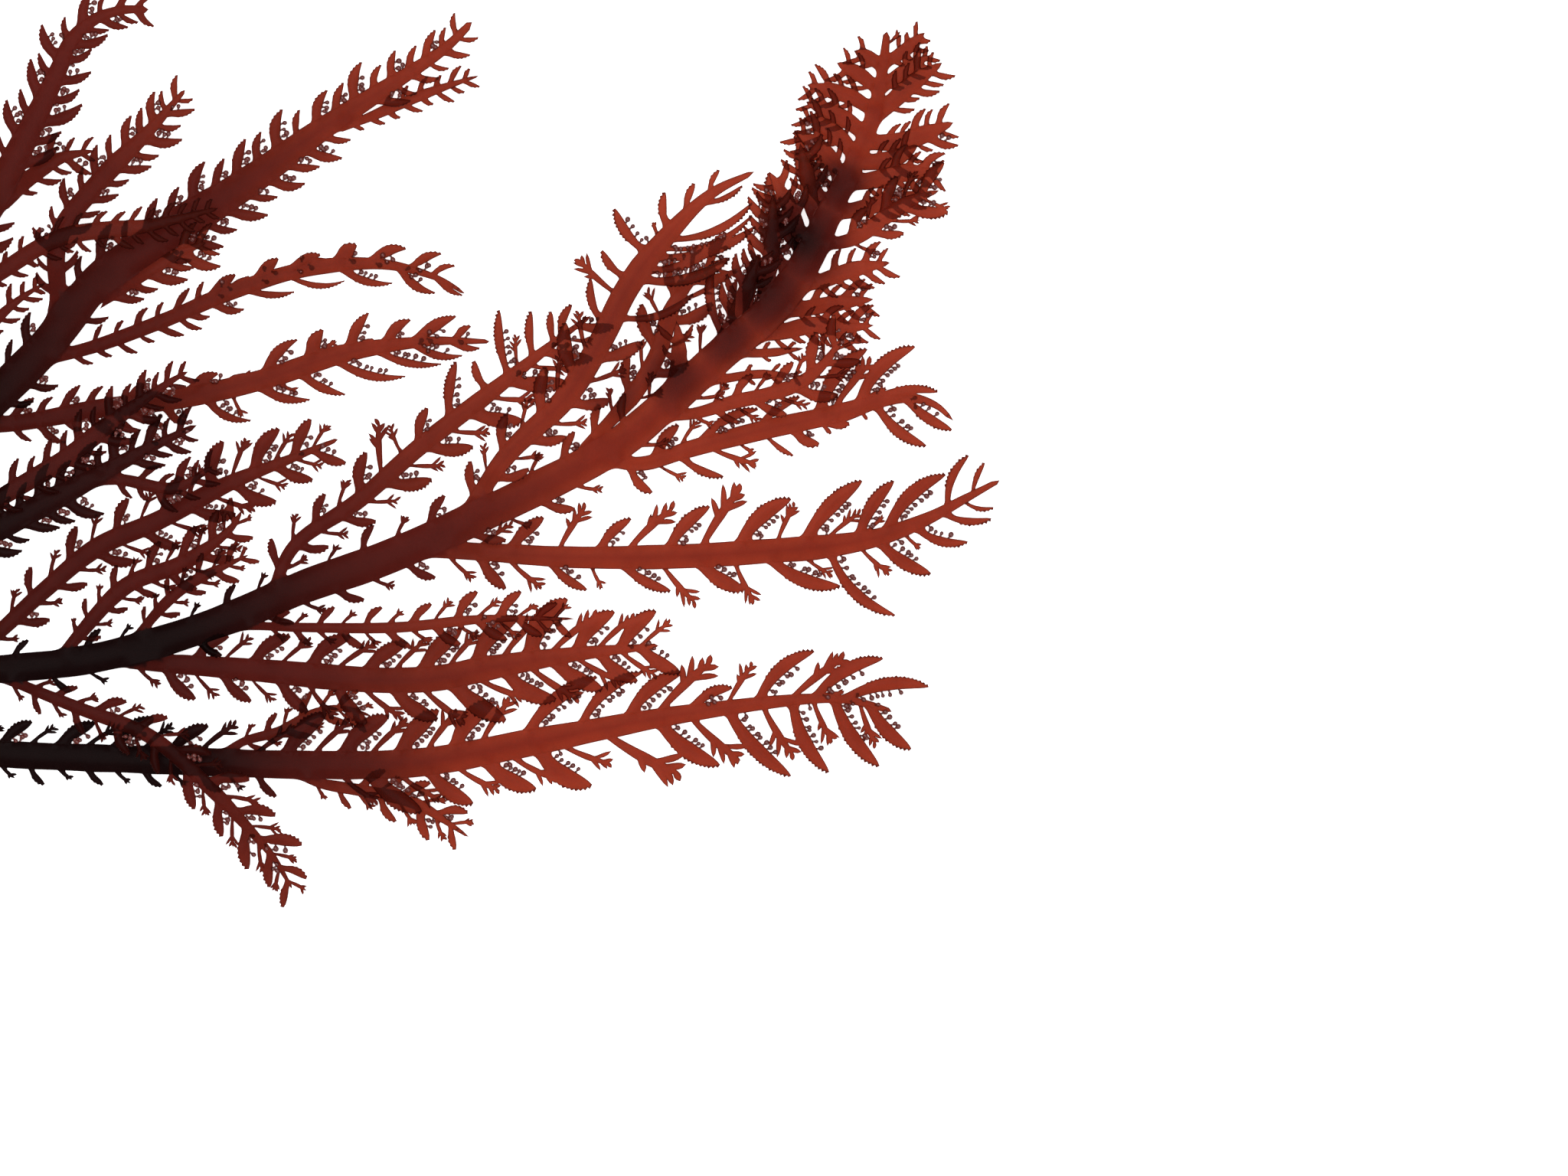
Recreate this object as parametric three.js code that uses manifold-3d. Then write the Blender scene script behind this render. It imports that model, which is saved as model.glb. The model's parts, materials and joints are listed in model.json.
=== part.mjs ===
// Ptilota asplenioides, a red seaweed: one cut spray lying spread out on a flat surface.
// Millimetres, +Z up. The origin is on the flat underside of the old stem, and +X runs towards the tips.
import * as THREE from 'three';
import { mergeVertices } from 'three/addons/utils/BufferGeometryUtils.js';
import Module from 'manifold-3d';

const wasm = await Module();
wasm.setup();

// Thickness of the living blade: a leaflet, a main axis and a side axis at the root, and an axis at its tip
const LEAFLET_THICKNESS = 0.6;
const MAIN_ROOT_THICKNESS = 1.15;
const SIDE_ROOT_THICKNESS = 0.85;
const AXIS_TIP_THICKNESS = 0.62;

// The old stem, and the clearance of each frond's root in its socket there
const STEM_THICKNESS = 2.8;
const STEM_MID = STEM_THICKNESS / 2;
const STEM_ROUNDING = 0.5;
const SOCKET_CLEARANCE = 0.45;
const SOCKET_REACH = 5;
const ROOT_NECK_WIDTH = 2;

// A leaflet reaches forward and outward, and is broad, by these shares of its size. The points of its
// outline are shares of the way to its tip and of its breadth to the outer side, and its foot reaches back
// by a share of the breadth.
const LEAFLET_FORWARD = 0.8;
const LEAFLET_OUTWARD = 0.66;
const LEAFLET_BREADTH = 0.24;
const LEAFLET_OUTLINE = [[0.38, 0.7], [1, 0], [0.48, -0.3]];
const LEAFLET_FOOT = 0.62;
const FRONT_FOOT = 1.3;
const LEAFLET_LIFT = 0.05;
// A small forked branchlet stands opposite each leaflet: its points are shares of its reach forward and
// outward, with two or three fingers, and the smallest leaflets and branchlets have a single one
const BRANCHLET_SHARE = 0.6;
const BRANCHLET_FORWARD = 0.64;
const BRANCHLET_OUTWARD = 0.72;
const BRANCHLET_FEW = [[0.25, 1.1], [0.56, 0.63], [1.25, 0.92]];
const BRANCHLET_MANY = [[0.28, 0.89], [0.44, 0.53], [0.86, 1.08], [0.78, 0.5], [1.22, 0.67]];
const BRANCHLET_FOOT = 0.22;
const TINY_OUTLINE = [[0.8, 1.1]];

// Where the leaflets of an axis are this long or longer, their foot has two points and their branchlets have
// three fingers. Shorter ones stand wider apart on a narrower rib, and the shortest have a single point.
const LARGE_LEAFLET = 4.3;
const TINY_LEAFLET = 1.9;
const SMALL_RIB_SHARE = 0.62;
const SMALL_PITCH_SHARE = 1.26;
// Width of an axis: shares of it at the root and the tip, and shares of the length between which it is full
const ROOT_WIDTH = 0.4;
const TIP_WIDTH = 0.2;
const WIDE_FROM = 0.4;
const WIDE_TO = 0.68;
// Size of the leaflets: the share at the root, and where along the axis they are full grown
const ROOT_SIZE = 0.5;
const GROWN_AT = 0.7;
// Share of an axis before its tip where leaflets get shorter, and the size that they end at
const TIP_SHARE = 0.17;
const TIP_SIZE = 0.45;
const SIZE_SPREAD = 0.22;
// Where along an axis the nodes crowd, the share of the pitch that they end at, and the gap at the tip
const CROWDED_FROM = 0.6;
const CROWDED_PITCH = 0.72;
const TIP_GAP = 0.35;
// Shares of the pitch kept free round a side axis and before the first measured foot
const SIDE_AXIS_GAP = 0.8;
const MEASURED_GAP = 0.7;
// The least reach of a measured leaflet along or across its axis
const LEAST_REACH = 0.5;
// Steps in which the nearest place on a route is looked for
const ROUTE_STEPS = 400;
// Distance between the points of a margin where an axis is bare
const BARE_STEP = 3;
// Sizes tried in turn where a leaflet would cross the margin before it, and how many points back that goes
const SHORTER_TRIES = [1, 0.8, 0.6, 0.4];
const MARGIN_CHECK = 16;
const SEED = 11;

// Each frond: its main axis first, then the axes that grow from it. width, leaflet and pitch are the widest
// blade, the longest leaflet and the distance between pairs; bare is the stretch without leaflets at the
// root, and root the width there as a share. A side axis starts at the nearest point of the axis it is on.
// leafletsAt and branchletsAt hold the foot and the tip in plan, and a leaflet's breadth, of those that are
// seen clearly. Before the first of them, and on the other axes, all stand at regular nodes.
const FRONDS = {
  lower_frond: [
    { name: 'lower', width: 2.7, leaflet: 5.2, pitch: 2.7, bare: 20, root: 0.75, route: [
      [6.8, -0.9, STEM_MID], [9.4, -2.3, STEM_MID], [12.8, -3.4, 1.3], [20.5, -4.8, 1.2], [28, -5.5, 1.2],
      [40.5, -6, 1.2], [53, -6.4, 1.1], [62.4, -6.2, 1], [71.8, -4.5, 0.9], [84.3, -2.2, 0.6],
      [95.5, -1, 0.36], [98.6, -1.4, 0.34], [100.8, -2.1, 0.34]],
    leafletsAt: [
      [71.4, -4.1, 76.8, 0.7, 1.5], [75.8, -3.6, 80.5, 1.1, 1.2], [79.6, -2.6, 83.8, 1.1, 1.5],
      [84.9, -1.9, 87.8, -0.2, 1.1], [90.1, -0.6, 94.5, 2.8, 1.4], [94.8, -0.9, 100.1, 2.2, 1.4],
      [97.4, -0.8, 103.8, -0.1, 1.4], [82.2, -3.6, 86.8, -6.4, 1.8], [87.8, -3.2, 92.6, -7.3, 1.6],
      [92.9, -2.8, 95.7, -7, 1.5], [96.1, -2.6, 99.8, -6.5, 1.6], [98.9, -2.4, 102.4, -5.1, 1.5]],
    branchletsAt: [
      [82.2, -2.4, 86.1, 2], [87.6, -1.4, 89.5, 1.8], [93, -1.1, 96.9, 2.3], [95.6, -1.6, 96.9, -0.6],
      [78, -4.6, 83.6, -7.2], [84.8, -3.8, 88.5, -6.1], [90.5, -2.9, 92.8, -5.7], [94.5, -2.8, 96, -4.6],
      [98, -2.9, 99.5, -4.8]] },
    { on: 'lower', width: 1.1, leaflet: 2.7, pitch: 2, bare: 2, route: [
      [50.8, -6.5, 1.1], [54.3, -7.9, 0.52], [58, -8.6, 0.46], [61.8, -9.5, 0.44], [66.3, -12.3, 0.42]] },
    { on: 'lower', width: 0.9, leaflet: 2.3, pitch: 1.9, bare: 2, route: [
      [45.2, -5.8, 1.1], [48, -4.5, 0.52], [50.8, -3.7, 0.46], [53.3, -2.4, 0.44], [55.8, -1.8, 0.42],
      [58.3, -2.4, 0.42]] },
  ],
  central_frond: [
    { name: 'central', width: 3, leaflet: 2.8, pitch: 3.5, bare: 12, root: 0.72, route: [
      [11.6, 0.6, STEM_MID], [14.6, 0.6, STEM_MID], [20.5, 0.7, 1.6], [28, 1.4, 2], [34.3, 2, 2.1],
      [40.5, 3.4, 2.2], [46.8, 5.5, 2.3], [53, 8.1, 2.4], [59.3, 10.3, 2.5], [65.5, 13, 2.6],
      [71.8, 16, 2.6], [78, 19.3, 2.6], [82.4, 22.9, 2.5], [86.8, 26.9, 2.4], [91.1, 30.7, 2.2],
      [94.3, 34.4, 2], [96.4, 38.8, 1.7], [98.1, 42.9, 1.3], [99.3, 46.6, 0.9], [100, 50, 0.56],
      [100.4, 53.4, 0.34]] },
    { on: 'central', width: 1.8, leaflet: 4.2, pitch: 2.6, bare: 3, route: [
      [49.6, 8.5, 2.4], [52.1, 11.3, 2], [57.4, 15.1, 2], [62.4, 19.5, 2], [68, 23.8, 2], [74.6, 28.9, 2],
      [76.3, 30.1, 2]],
    leafletsAt: [
      [61.8, 20.9, 63.1, 22.6, 1.1], [64.6, 22.4, 65.4, 26.4, 1.1], [67.8, 24.2, 66.9, 26.5, 0.9],
      [68.9, 26.3, 68.9, 30.6, 1], [71.2, 27.5, 71.5, 30.5, 0.9], [72.5, 29.1, 73.1, 30.5, 0.8],
      [74.4, 28, 74.8, 31, 0.9]],
    branchletsAt: [
      [58.4, 18.5, 59.1, 21.5], [60.5, 19.4, 60, 21.2], [70, 26.6, 70.2, 28.5]] },
    { on: 'central', width: 2.3, leaflet: 4.7, pitch: 2.5, bare: 3, route: [
      [65.2, 13.9, 2.6], [69.6, 18.8, 3.6], [74.3, 23.4, 3.7], [77.1, 27.9, 3.6], [79.3, 32.3, 3.4],
      [82.3, 36.3, 3.1], [86.1, 40, 2.8], [89.6, 41.8, 2.6]],
    leafletsAt: [
      [76.5, 30.1, 76.4, 33.1, 0.9], [78.3, 33.7, 77.3, 35.4, 0.9], [80.3, 35.6, 78.3, 38.8, 1.1],
      [82.3, 37.5, 82.4, 40.1, 0.9], [84.2, 38.8, 84.8, 40.8, 0.8], [86, 40.3, 86.8, 41.9, 0.6],
      [85.5, 39.6, 88.6, 40.7, 0.6], [82.3, 37.2, 89.4, 39.3, 0.9], [82, 36.1, 89.4, 38.3, 0.7],
      [81.6, 35.2, 89.7, 37.4, 1.1], [81.4, 33.7, 86.1, 35.4, 1], [82, 32.2, 87.6, 34.8, 1.2],
      [79.2, 29.8, 84.6, 31.9, 0.9]],
    branchletsAt: [
      [77.9, 32.2, 75.3, 34.7], [81.6, 36.8, 81.4, 37.7]] },
    { on: 'central', width: 1.6, leaflet: 3.6, pitch: 2.6, bare: 3, route: [
      [73.3, 17.1, 2.6], [78.3, 21.9, 1.5], [81.6, 26.8, 1.3], [82.9, 30.8, 1.3], [85, 33.6, 1.3],
      [87.6, 34.9, 1.3]] },
    { on: 'central', width: 1, leaflet: 2.2, pitch: 1.8, bare: 1.2, route: [
      [82.3, 22.9, 2.5], [83.3, 25.4, 3.8], [83.5, 27.6, 4.4], [83.3, 29.6, 4.6]] },
    { on: 'central', width: 1, leaflet: 2.8, pitch: 2, bare: 1.2, route: [
      [85.8, 26, 2.4], [87.3, 28.5, 3.4], [88.5, 31, 3.6], [90, 35, 3.6]] },
    { on: 'central', width: 1, leaflet: 2.8, pitch: 2, bare: 1.2, route: [
      [89.6, 29.3, 2.3], [90.5, 32.3, 3], [91, 35.4, 3.2], [91.1, 39.9, 3.2]] },
    { on: 'central', width: 0.9, leaflet: 2.5, pitch: 1.9, bare: 1.2, route: [
      [93.5, 33.5, 2], [93.3, 36.3, 2.6], [92.4, 39, 2.8], [90.8, 41.8, 2.8]] },
    { on: 'central', width: 0.8, leaflet: 2.3, pitch: 1.9, bare: 1.2, route: [
      [95.8, 37.3, 1.8], [95.2, 39.4, 2.2], [94.6, 41.3, 2.4], [93.3, 44.1, 2.4]] },
    { on: 'central', width: 0.8, leaflet: 2, pitch: 1.6, bare: 1, route: [
      [97.1, 40.7, 1.5], [95.8, 42.8, 1.8], [94.6, 44, 1.8], [92.8, 45.2, 1.8]] },
    { on: 'central', width: 0.7, leaflet: 1.8, pitch: 1.6, bare: 1, route: [
      [98, 42.9, 1.3], [96.4, 44.8, 1.4], [95, 45.7, 1.4], [93.6, 46.3, 1.4]] },
    { on: 'central', width: 0.7, leaflet: 1.8, pitch: 1.6, bare: 1, route: [
      [98.6, 44.9, 1.1], [97.1, 46.1, 1.1], [93.8, 47.6, 1.1]] },
    { on: 'central', width: 0.7, leaflet: 1.7, pitch: 1.6, bare: 1, route: [
      [99.3, 46.8, 0.9], [97.5, 48, 0.9], [93.9, 49, 0.9]] },
    { on: 'central', width: 0.6, leaflet: 1.6, pitch: 1.5, bare: 1, route: [
      [99.7, 48.6, 0.7], [98.1, 49.9, 0.7], [96.3, 50.8, 0.7]] },
    { on: 'central', width: 0.6, leaflet: 1.4, pitch: 1.5, bare: 1, route: [
      [100, 50.4, 0.5], [98.9, 51.3, 0.5], [97.7, 51.8, 0.5]] },
    { on: 'central', width: 0.8, leaflet: 2, pitch: 1.7, bare: 1, route: [
      [97.7, 40.4, 1.5], [99.9, 41.3, 2], [102.1, 41.8, 2], [104.6, 41.7, 2]] },
    { on: 'central', width: 0.8, leaflet: 1.7, pitch: 1.6, bare: 1, route: [
      [98.3, 42.3, 1.3], [101.1, 43, 1.5], [102.9, 44, 1.5]] },
    { on: 'central', width: 0.8, leaflet: 2, pitch: 1.6, bare: 1, route: [
      [98.9, 44.1, 1.2], [101.8, 44.4, 1.2], [103.8, 45.1, 1.2], [105.8, 45.9, 1.2]] },
    { on: 'central', width: 0.8, leaflet: 2, pitch: 1.6, bare: 1, route: [
      [99.3, 46, 0.9], [100.8, 47.6, 0.9], [102.7, 49.3, 0.9], [104.9, 50.8, 0.9]] },
    { on: 'central', width: 0.7, leaflet: 1.7, pitch: 1.5, bare: 1, route: [
      [99.9, 48.6, 0.7], [101.8, 50.1, 0.7], [103.8, 51.4, 0.7]] },
    { on: 'central', width: 0.6, leaflet: 1.6, pitch: 1.5, bare: 1, route: [
      [100.2, 50.7, 0.5], [101.8, 51.8, 0.5], [103.5, 53.3, 0.5]] },
    { on: 'central', width: 1.4, leaflet: 3.4, pitch: 2, bare: 1.6, route: [
      [95.2, 35.4, 2], [97.7, 36.4, 2.4], [99.9, 37.9, 2.4], [102.2, 39.4, 2.4], [104.6, 40.3, 2.4]] },
    { on: 'central', width: 0.9, leaflet: 2.4, pitch: 1.7, bare: 1.4, route: [
      [93, 31.9, 2.1], [95.2, 33, 2.6], [97.4, 33.8, 2.6], [100.6, 34.4, 2.6]] },
    { on: 'central', width: 0.9, leaflet: 2.4, pitch: 1.7, bare: 1.4, route: [
      [91.1, 29.9, 2.2], [93.6, 30.7, 1.6], [95.8, 31.1, 1.4], [99.3, 31.5, 1.4]] },
    { on: 'central', width: 1, leaflet: 2.4, pitch: 1.8, bare: 1.4, route: [
      [89.3, 27.9, 2.3], [91.8, 28.8, 3], [94.3, 29.3, 3.2], [96.8, 29.1, 3.2], [99.3, 29.3, 3.2]] },
    { on: 'central', width: 0.8, leaflet: 1, pitch: 2.4, bare: 1.4, route: [
      [87.7, 26.3, 2.4], [90.5, 27.1, 1.8], [93.6, 27.5, 1.6]] },
    { on: 'central', width: 0.8, leaflet: 1, pitch: 2.4, bare: 1.4, route: [
      [84.2, 23.6, 2.5], [86.8, 24.9, 1.8], [89.9, 25.4, 1.6], [93.6, 25.2, 1.6]] },
    { on: 'central', width: 1.3, leaflet: 3.1, pitch: 2, bare: 2, route: [
      [81.8, 21.3, 2.5], [84.9, 22.2, 3.2], [88, 23.1, 3.3], [91.1, 23.8, 3.3], [93.6, 24.8, 3.3],
      [95.5, 26.5, 3.8], [97.1, 28.8, 4.2]] },
    { on: 'central', width: 2.2, leaflet: 5, pitch: 2.6, bare: 3, route: [
      [77.4, 17.4, 2.6], [80.4, 18.1, 1.7], [84.3, 19.3, 1.4], [90.5, 20.9, 1.4], [96.8, 22.3, 1.4],
      [99.6, 23.2, 1.4], [102.1, 23.5, 1.4], [104.3, 22.9, 1.4], [105.8, 21.6, 1.4]],
    leafletsAt: [
      [83.9, 18.1, 87.1, 17.1, 0.9], [90.8, 20.2, 92.8, 18.8, 0.6], [92.9, 20.8, 94.9, 19.8, 1.1],
      [95.2, 21.5, 95.9, 20.6, 0.5], [95.8, 21.8, 97.3, 21.5, 0.9], [99.8, 22.2, 103.6, 19.6, 1.2],
      [102.2, 22.6, 105.7, 20.9, 1.1], [85.7, 19.8, 89.9, 22.5, 1], [90.6, 21, 93.3, 23.5, 0.9],
      [94.8, 23.2, 98.8, 27.4, 1.6], [98.3, 23.5, 102.7, 27.6, 1.5], [100.6, 23.8, 104.5, 23.9, 0.9]],
    branchletsAt: [
      [86.6, 18.7, 89.8, 18.1], [88.6, 19.3, 89.6, 19], [98.4, 22.2, 98.8, 21.7],
      [96.3, 22.9, 99.1, 26.4], [99.1, 23.2, 100.4, 24.2]] },
    { on: 'central', width: 2.6, leaflet: 6.2, pitch: 2.9, bare: 4, route: [
      [61.1, 10.9, 2.5], [63.9, 11.1, 1.9], [68, 10.9, 1.6], [74.9, 10.5, 1.5], [84.3, 10.6, 1.4],
      [90.5, 11, 1.2], [95.5, 11.4, 0.9], [99.9, 12.2, 0.6], [103.8, 13.7, 0.42], [106.8, 15.3, 0.38],
      [109.6, 16.8, 0.36]],
    leafletsAt: [
      [77.1, 11.2, 79.6, 13.6, 1.1], [82.8, 11.6, 86, 14.6, 1.4], [88.5, 12.2, 92.6, 15.2, 1.7],
      [93.9, 12.1, 98.4, 16.7, 1.7], [98.2, 12.6, 101, 16.7, 1.4], [100.8, 12.6, 105.2, 17.2, 1.5],
      [105.4, 14.8, 107.1, 18.8, 0.9], [107.4, 16.1, 108.4, 18.2, 0.6], [73.2, 9.3, 76, 7.9, 1],
      [79.2, 9.3, 82.8, 7.8, 1.1], [85.5, 9.7, 88.8, 7.9, 1.6], [91.2, 9.4, 96.6, 8.2, 1.5],
      [96, 9.9, 101.1, 5.8, 1.2], [100.3, 10.6, 104, 9.2, 1.4], [103.2, 12.1, 107, 11.8, 1],
      [105.3, 13.8, 108.9, 13.7, 0.8], [106.7, 15.3, 109.1, 14.6, 0.5]],
    branchletsAt: [
      [73.8, 11.2, 75.9, 14.6], [79.6, 11.6, 83, 14.5], [85.5, 11.9, 88.5, 16.1], [91.6, 12, 92.9, 14.8],
      [96, 11.8, 98.2, 14.1], [99.1, 11.9, 100.2, 13.8], [76.4, 9.4, 77.3, 7.9], [82.3, 9.7, 84.8, 6.8],
      [88.1, 10.1, 89.6, 6.9], [94, 9.9, 95.9, 9.1], [98.6, 10.4, 100.6, 9.2],
      [102.2, 11.6, 103.2, 11.2]] },
    { on: 'central', width: 0.95, leaflet: 2.7, pitch: 2.2, bare: 2.4, route: [
      [44.6, 4.3, 2.3], [48.6, 4.9, 3.2], [53, 4.8, 3.4], [60.5, 4.8, 3.4], [68, 5.5, 3.2], [75, 5.5, 3]] },
    { on: 'central', width: 2.1, leaflet: 5.2, pitch: 2.7, bare: 3.4, route: [
      [36.4, 2.2, 2.1], [40.5, 2, 2.1], [49.3, 1.3, 2.1], [59.3, 0.5, 2.1], [64, 0.7, 2.1], [68, 1.5, 2.1],
      [74.9, 2.6, 2], [81.8, 3.3, 1.9]] },
    { on: 'central', width: 1.3, leaflet: 3.2, pitch: 2.1, bare: 3, route: [
      [26.8, 1, 2], [29.3, 0.4, 2.5], [34.9, -1.8, 2.8], [40.5, -4, 3], [45.2, -8, 2.9], [48.9, -12, 2.1],
      [50.5, -14, 1.5], [51.9, -16.5, 0.8]] },
    { on: 'central', width: 1.7, leaflet: 3.7, pitch: 2.5, bare: 3, route: [
      [24, 1, 1.8], [28, 4.3, 1.6], [31.8, 7.8, 1.5], [36.1, 11.3, 1.5], [41.1, 13.5, 1.5],
      [46.8, 16.5, 1.5], [51.8, 18.5, 1.4], [55.7, 20.1, 1.3]] },
    { on: 'central', width: 1.5, leaflet: 2.6, pitch: 1.8, bare: 1.6, route: [
      [32.8, 1.8, 2.1], [34.9, 4.4, 2.3], [38.6, 8.2, 2.3], [43.3, 10.1, 2.2], [47.1, 12.9, 2.1],
      [47.9, 14.3, 2.1]] },
    { on: 'central', width: 1, leaflet: 2, pitch: 1.7, bare: 1.6, route: [
      [38.4, 2.8, 2.2], [41.4, 6.3, 3.2], [43.6, 8.2, 3.4], [48.6, 10.7, 3.4]] },
  ],
  middle_frond: [
    { name: 'middle', width: 2, leaflet: 3.1, pitch: 2.2, bare: 9, root: 1, route: [
      [8, 1.1, STEM_MID], [10.2, 2.8, STEM_MID], [17, 6.7, 2.6], [24.3, 10.4, 3.4], [28, 12.6, 3.6],
      [34.3, 16, 3.6], [39.9, 19, 3.5], [44.4, 21.2, 3.3]] },
    { on: 'middle', width: 1.5, leaflet: 2.6, pitch: 1.9, bare: 2, route: [
      [22.4, 9.4, 3.2], [26.8, 14, 4.2], [33.9, 18.5, 4.5], [38.3, 21.9, 4.5], [42.7, 24.9, 4.4],
      [43.8, 25.5, 4.4]] },
    { on: 'middle', width: 1, leaflet: 2.4, pitch: 1.9, bare: 1.4, route: [
      [35.2, 16.4, 3.6], [38, 16.8, 3.4], [42.7, 16.1, 3.4], [45.7, 17.9, 3.3]] },
  ],
  upper_frond: [
    { name: 'upper', width: 2.9, leaflet: 3.1, pitch: 2.6, bare: 9, root: 0.72, route: [
      [4, 0.7, STEM_MID], [6.2, 3, STEM_MID], [11, 7.5, 1.1], [16, 12, 1.1], [21.8, 17.6, 1.1],
      [26.1, 21.9, 1.1], [31.8, 27.6, 1.2], [36.1, 32.9, 1.3], [41.8, 36.9, 1.3], [48, 40.8, 1.3],
      [54.3, 45.3, 1.3], [60, 49, 1.2], [64.3, 51.9, 1.1], [66.6, 54.1, 1]] },
    { on: 'upper', width: 1.6, leaflet: 2.8, pitch: 2, bare: 1.6, route: [
      [31.6, 27.4, 1.1], [32.8, 31, 1.9], [33.1, 36.6, 2.1], [36.4, 41.1, 2.1], [40.5, 45.3, 2],
      [43.3, 48.5, 1.9]] },
    { on: 'upper', width: 1.4, leaflet: 3.4, pitch: 2, bare: 1.6, route: [
      [33.3, 29.4, 1.1], [36.8, 31.8, 1.9], [42.1, 34.9, 1.9], [45, 36.1, 1.9]] },
    { on: 'upper', width: 1.3, leaflet: 2.7, pitch: 2.1, bare: 2, route: [
      [30.6, 26.4, 1.1], [35.5, 27.6, 0.7], [41.4, 29.8, 0.5], [46.8, 32.1, 0.5], [53, 34, 0.5],
      [59.3, 34.4, 0.5], [63.9, 33.2, 0.5], [66, 32, 0.5]],
    leafletsAt: [
      [45.9, 32.2, 47.3, 33.5, 1.1], [49.6, 33.3, 50.8, 34.8, 1.2], [52.7, 33.9, 54.2, 35.1, 1.1],
      [55.9, 34.7, 57.2, 35.9, 1.5], [58.7, 34.7, 61.2, 35.6, 1.1], [61.8, 34.2, 64.1, 35.2, 0.9],
      [63.4, 33.5, 65.2, 34.2, 0.6], [43, 29.5, 44.6, 29.2, 0.6], [43.8, 30, 45.2, 30.2, 0.6],
      [45.9, 30.8, 48, 30.8, 0.8], [48.8, 32.1, 52.1, 32.2, 0.7], [52.1, 33.1, 56.2, 33.1, 0.6],
      [56.2, 33.6, 60.1, 32.9, 0.8], [60.8, 33.6, 63.6, 32.1, 0.9], [63.9, 33, 65.8, 31.9, 0.6]],
    branchletsAt: [
      [47.7, 32.8, 48.4, 33.3], [54.2, 34, 55.2, 34.6]] },
    { on: 'upper', width: 1.7, leaflet: 3.8, pitch: 2.4, bare: 2, route: [
      [25.3, 21.1, 1.1], [29.9, 21.5, 0.9], [36.1, 22.6, 0.8], [43.6, 23.6, 0.8], [49.9, 25.1, 0.8],
      [56.1, 27.1, 0.8], [63, 28.1, 0.7], [68, 28.1, 0.7]],
    leafletsAt: [
      [38.9, 23.2, 40.4, 24.6, 0.8], [44.2, 23.6, 45.9, 25.4, 1.1], [50.2, 25.1, 52.4, 28.2, 1.1],
      [53.7, 26.4, 54.5, 29, 1.4], [56.8, 27.5, 58.2, 30.4, 1.1], [59.7, 28.1, 61.6, 29.8, 1.1],
      [62.4, 28.4, 65.3, 30.1, 1.2], [65.3, 28.6, 66.5, 29.3, 0.8], [45.4, 22.1, 48.6, 21.7, 0.8],
      [49.8, 23.5, 53.4, 23.4, 0.9], [53.1, 24.6, 56.3, 23.8, 0.9], [56, 26, 61.2, 25.3, 0.9],
      [59.3, 27, 64.1, 26.3, 0.8], [62.2, 27.8, 65.8, 27, 0.8], [65.3, 28.1, 67.2, 27.6, 0.7]],
    branchletsAt: [
      [47.7, 24.3, 48.8, 25.4], [54.6, 26.6, 55.6, 28.1], [58.1, 27.5, 58.6, 28.2],
      [47.3, 22.9, 48, 21.9], [51.2, 23.9, 52.4, 24]] },
    { on: 'upper', width: 0.9, leaflet: 1.6, pitch: 1.7, bare: 1.4, route: [
      [53, 44.4, 1.2], [57.4, 46.1, 0.6], [63, 48.4, 0.38], [67.1, 49.8, 0.33]] },
    { on: 'upper', width: 0.9, leaflet: 1.7, pitch: 1.7, bare: 1.4, route: [
      [24.9, 20.7, 1.1], [25.5, 24.8, 1.7], [27.4, 29.1, 1.9], [29.6, 31.3, 1.9], [31.9, 32.8, 1.9]] },
  ],
  crest_frond: [
    { name: 'crest', width: 2.7, leaflet: 3.2, pitch: 2.5, bare: 9, root: 0.76, route: [
      [-2.6, 0.5, STEM_MID], [-0.8, 3, STEM_MID], [3, 7.6, 1.8], [8.5, 13.8, 2.8], [14, 20.4, 3.4],
      [20, 28.3, 3.6], [24.3, 34.2, 3.8], [28, 39.6, 4], [31, 45.2, 4.1], [33.3, 50, 4.1],
      [34.3, 52.3, 4], [36.1, 54, 3.9], [38.3, 54.8, 3.7], [40.5, 54.9, 3.4]] },
    { on: 'crest', width: 1.3, leaflet: 2.2, pitch: 1.9, bare: 1.4, route: [
      [25.6, 36.1, 3.9], [28, 38.4, 3.3], [32.7, 42.6, 3.1], [36.1, 43.5, 3.1]] },
    { on: 'crest', width: 1.4, leaflet: 1.8, pitch: 1.8, bare: 2.4, route: [
      [21.5, 30.3, 3.7], [24.9, 31.3, 3.3], [28, 33.3, 3.2], [33.3, 36.4, 3.2], [40.5, 37.4, 3.1],
      [46.1, 38.8, 3]] },
  ],
};

// The old stem in plan
const STEM_OUTLINE = [[-5.2, 0.9], [-3.6, 1.8], [4, 2.2], [10, 2.1], [12.9, 1.6], [12.9, -0.5], [9.6, -1.7],
  [4, -2], [-4, -1.8], [-5.2, -1.1]];

// A repeatable draw between 0 and 1 (mulberry32)
function drawFrom(seed) {
  let state = seed;
  return () => {
    state = (state + 0x6d2b79f5) | 0;
    let mixed = Math.imul(state ^ (state >>> 15), 1 | state);
    mixed = (mixed + Math.imul(mixed ^ (mixed >>> 7), 61 | mixed)) ^ mixed;
    return ((mixed ^ (mixed >>> 14)) >>> 0) / 4294967296;
  };
}

const lerp = THREE.MathUtils.lerp;

// The half width of an axis at share u of its length: narrow at the root, widest past the middle
function halfWidth(axis, u) {
  const growth = lerp(axis.root ?? ROOT_WIDTH, 1, Math.min(1, u / WIDE_FROM));
  const taper = lerp(1, TIP_WIDTH, Math.max(0, (u - WIDE_TO) / (1 - WIDE_TO)));
  const rib = axis.on && axis.leaflet < LARGE_LEAFLET ? SMALL_RIB_SHARE : 1;
  return (axis.width / 2) * rib * growth * taper;
}

function axisThickness(axis, u) {
  return lerp(axis.name ? MAIN_ROOT_THICKNESS : SIDE_ROOT_THICKNESS, AXIS_TIP_THICKNESS, u);
}

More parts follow.
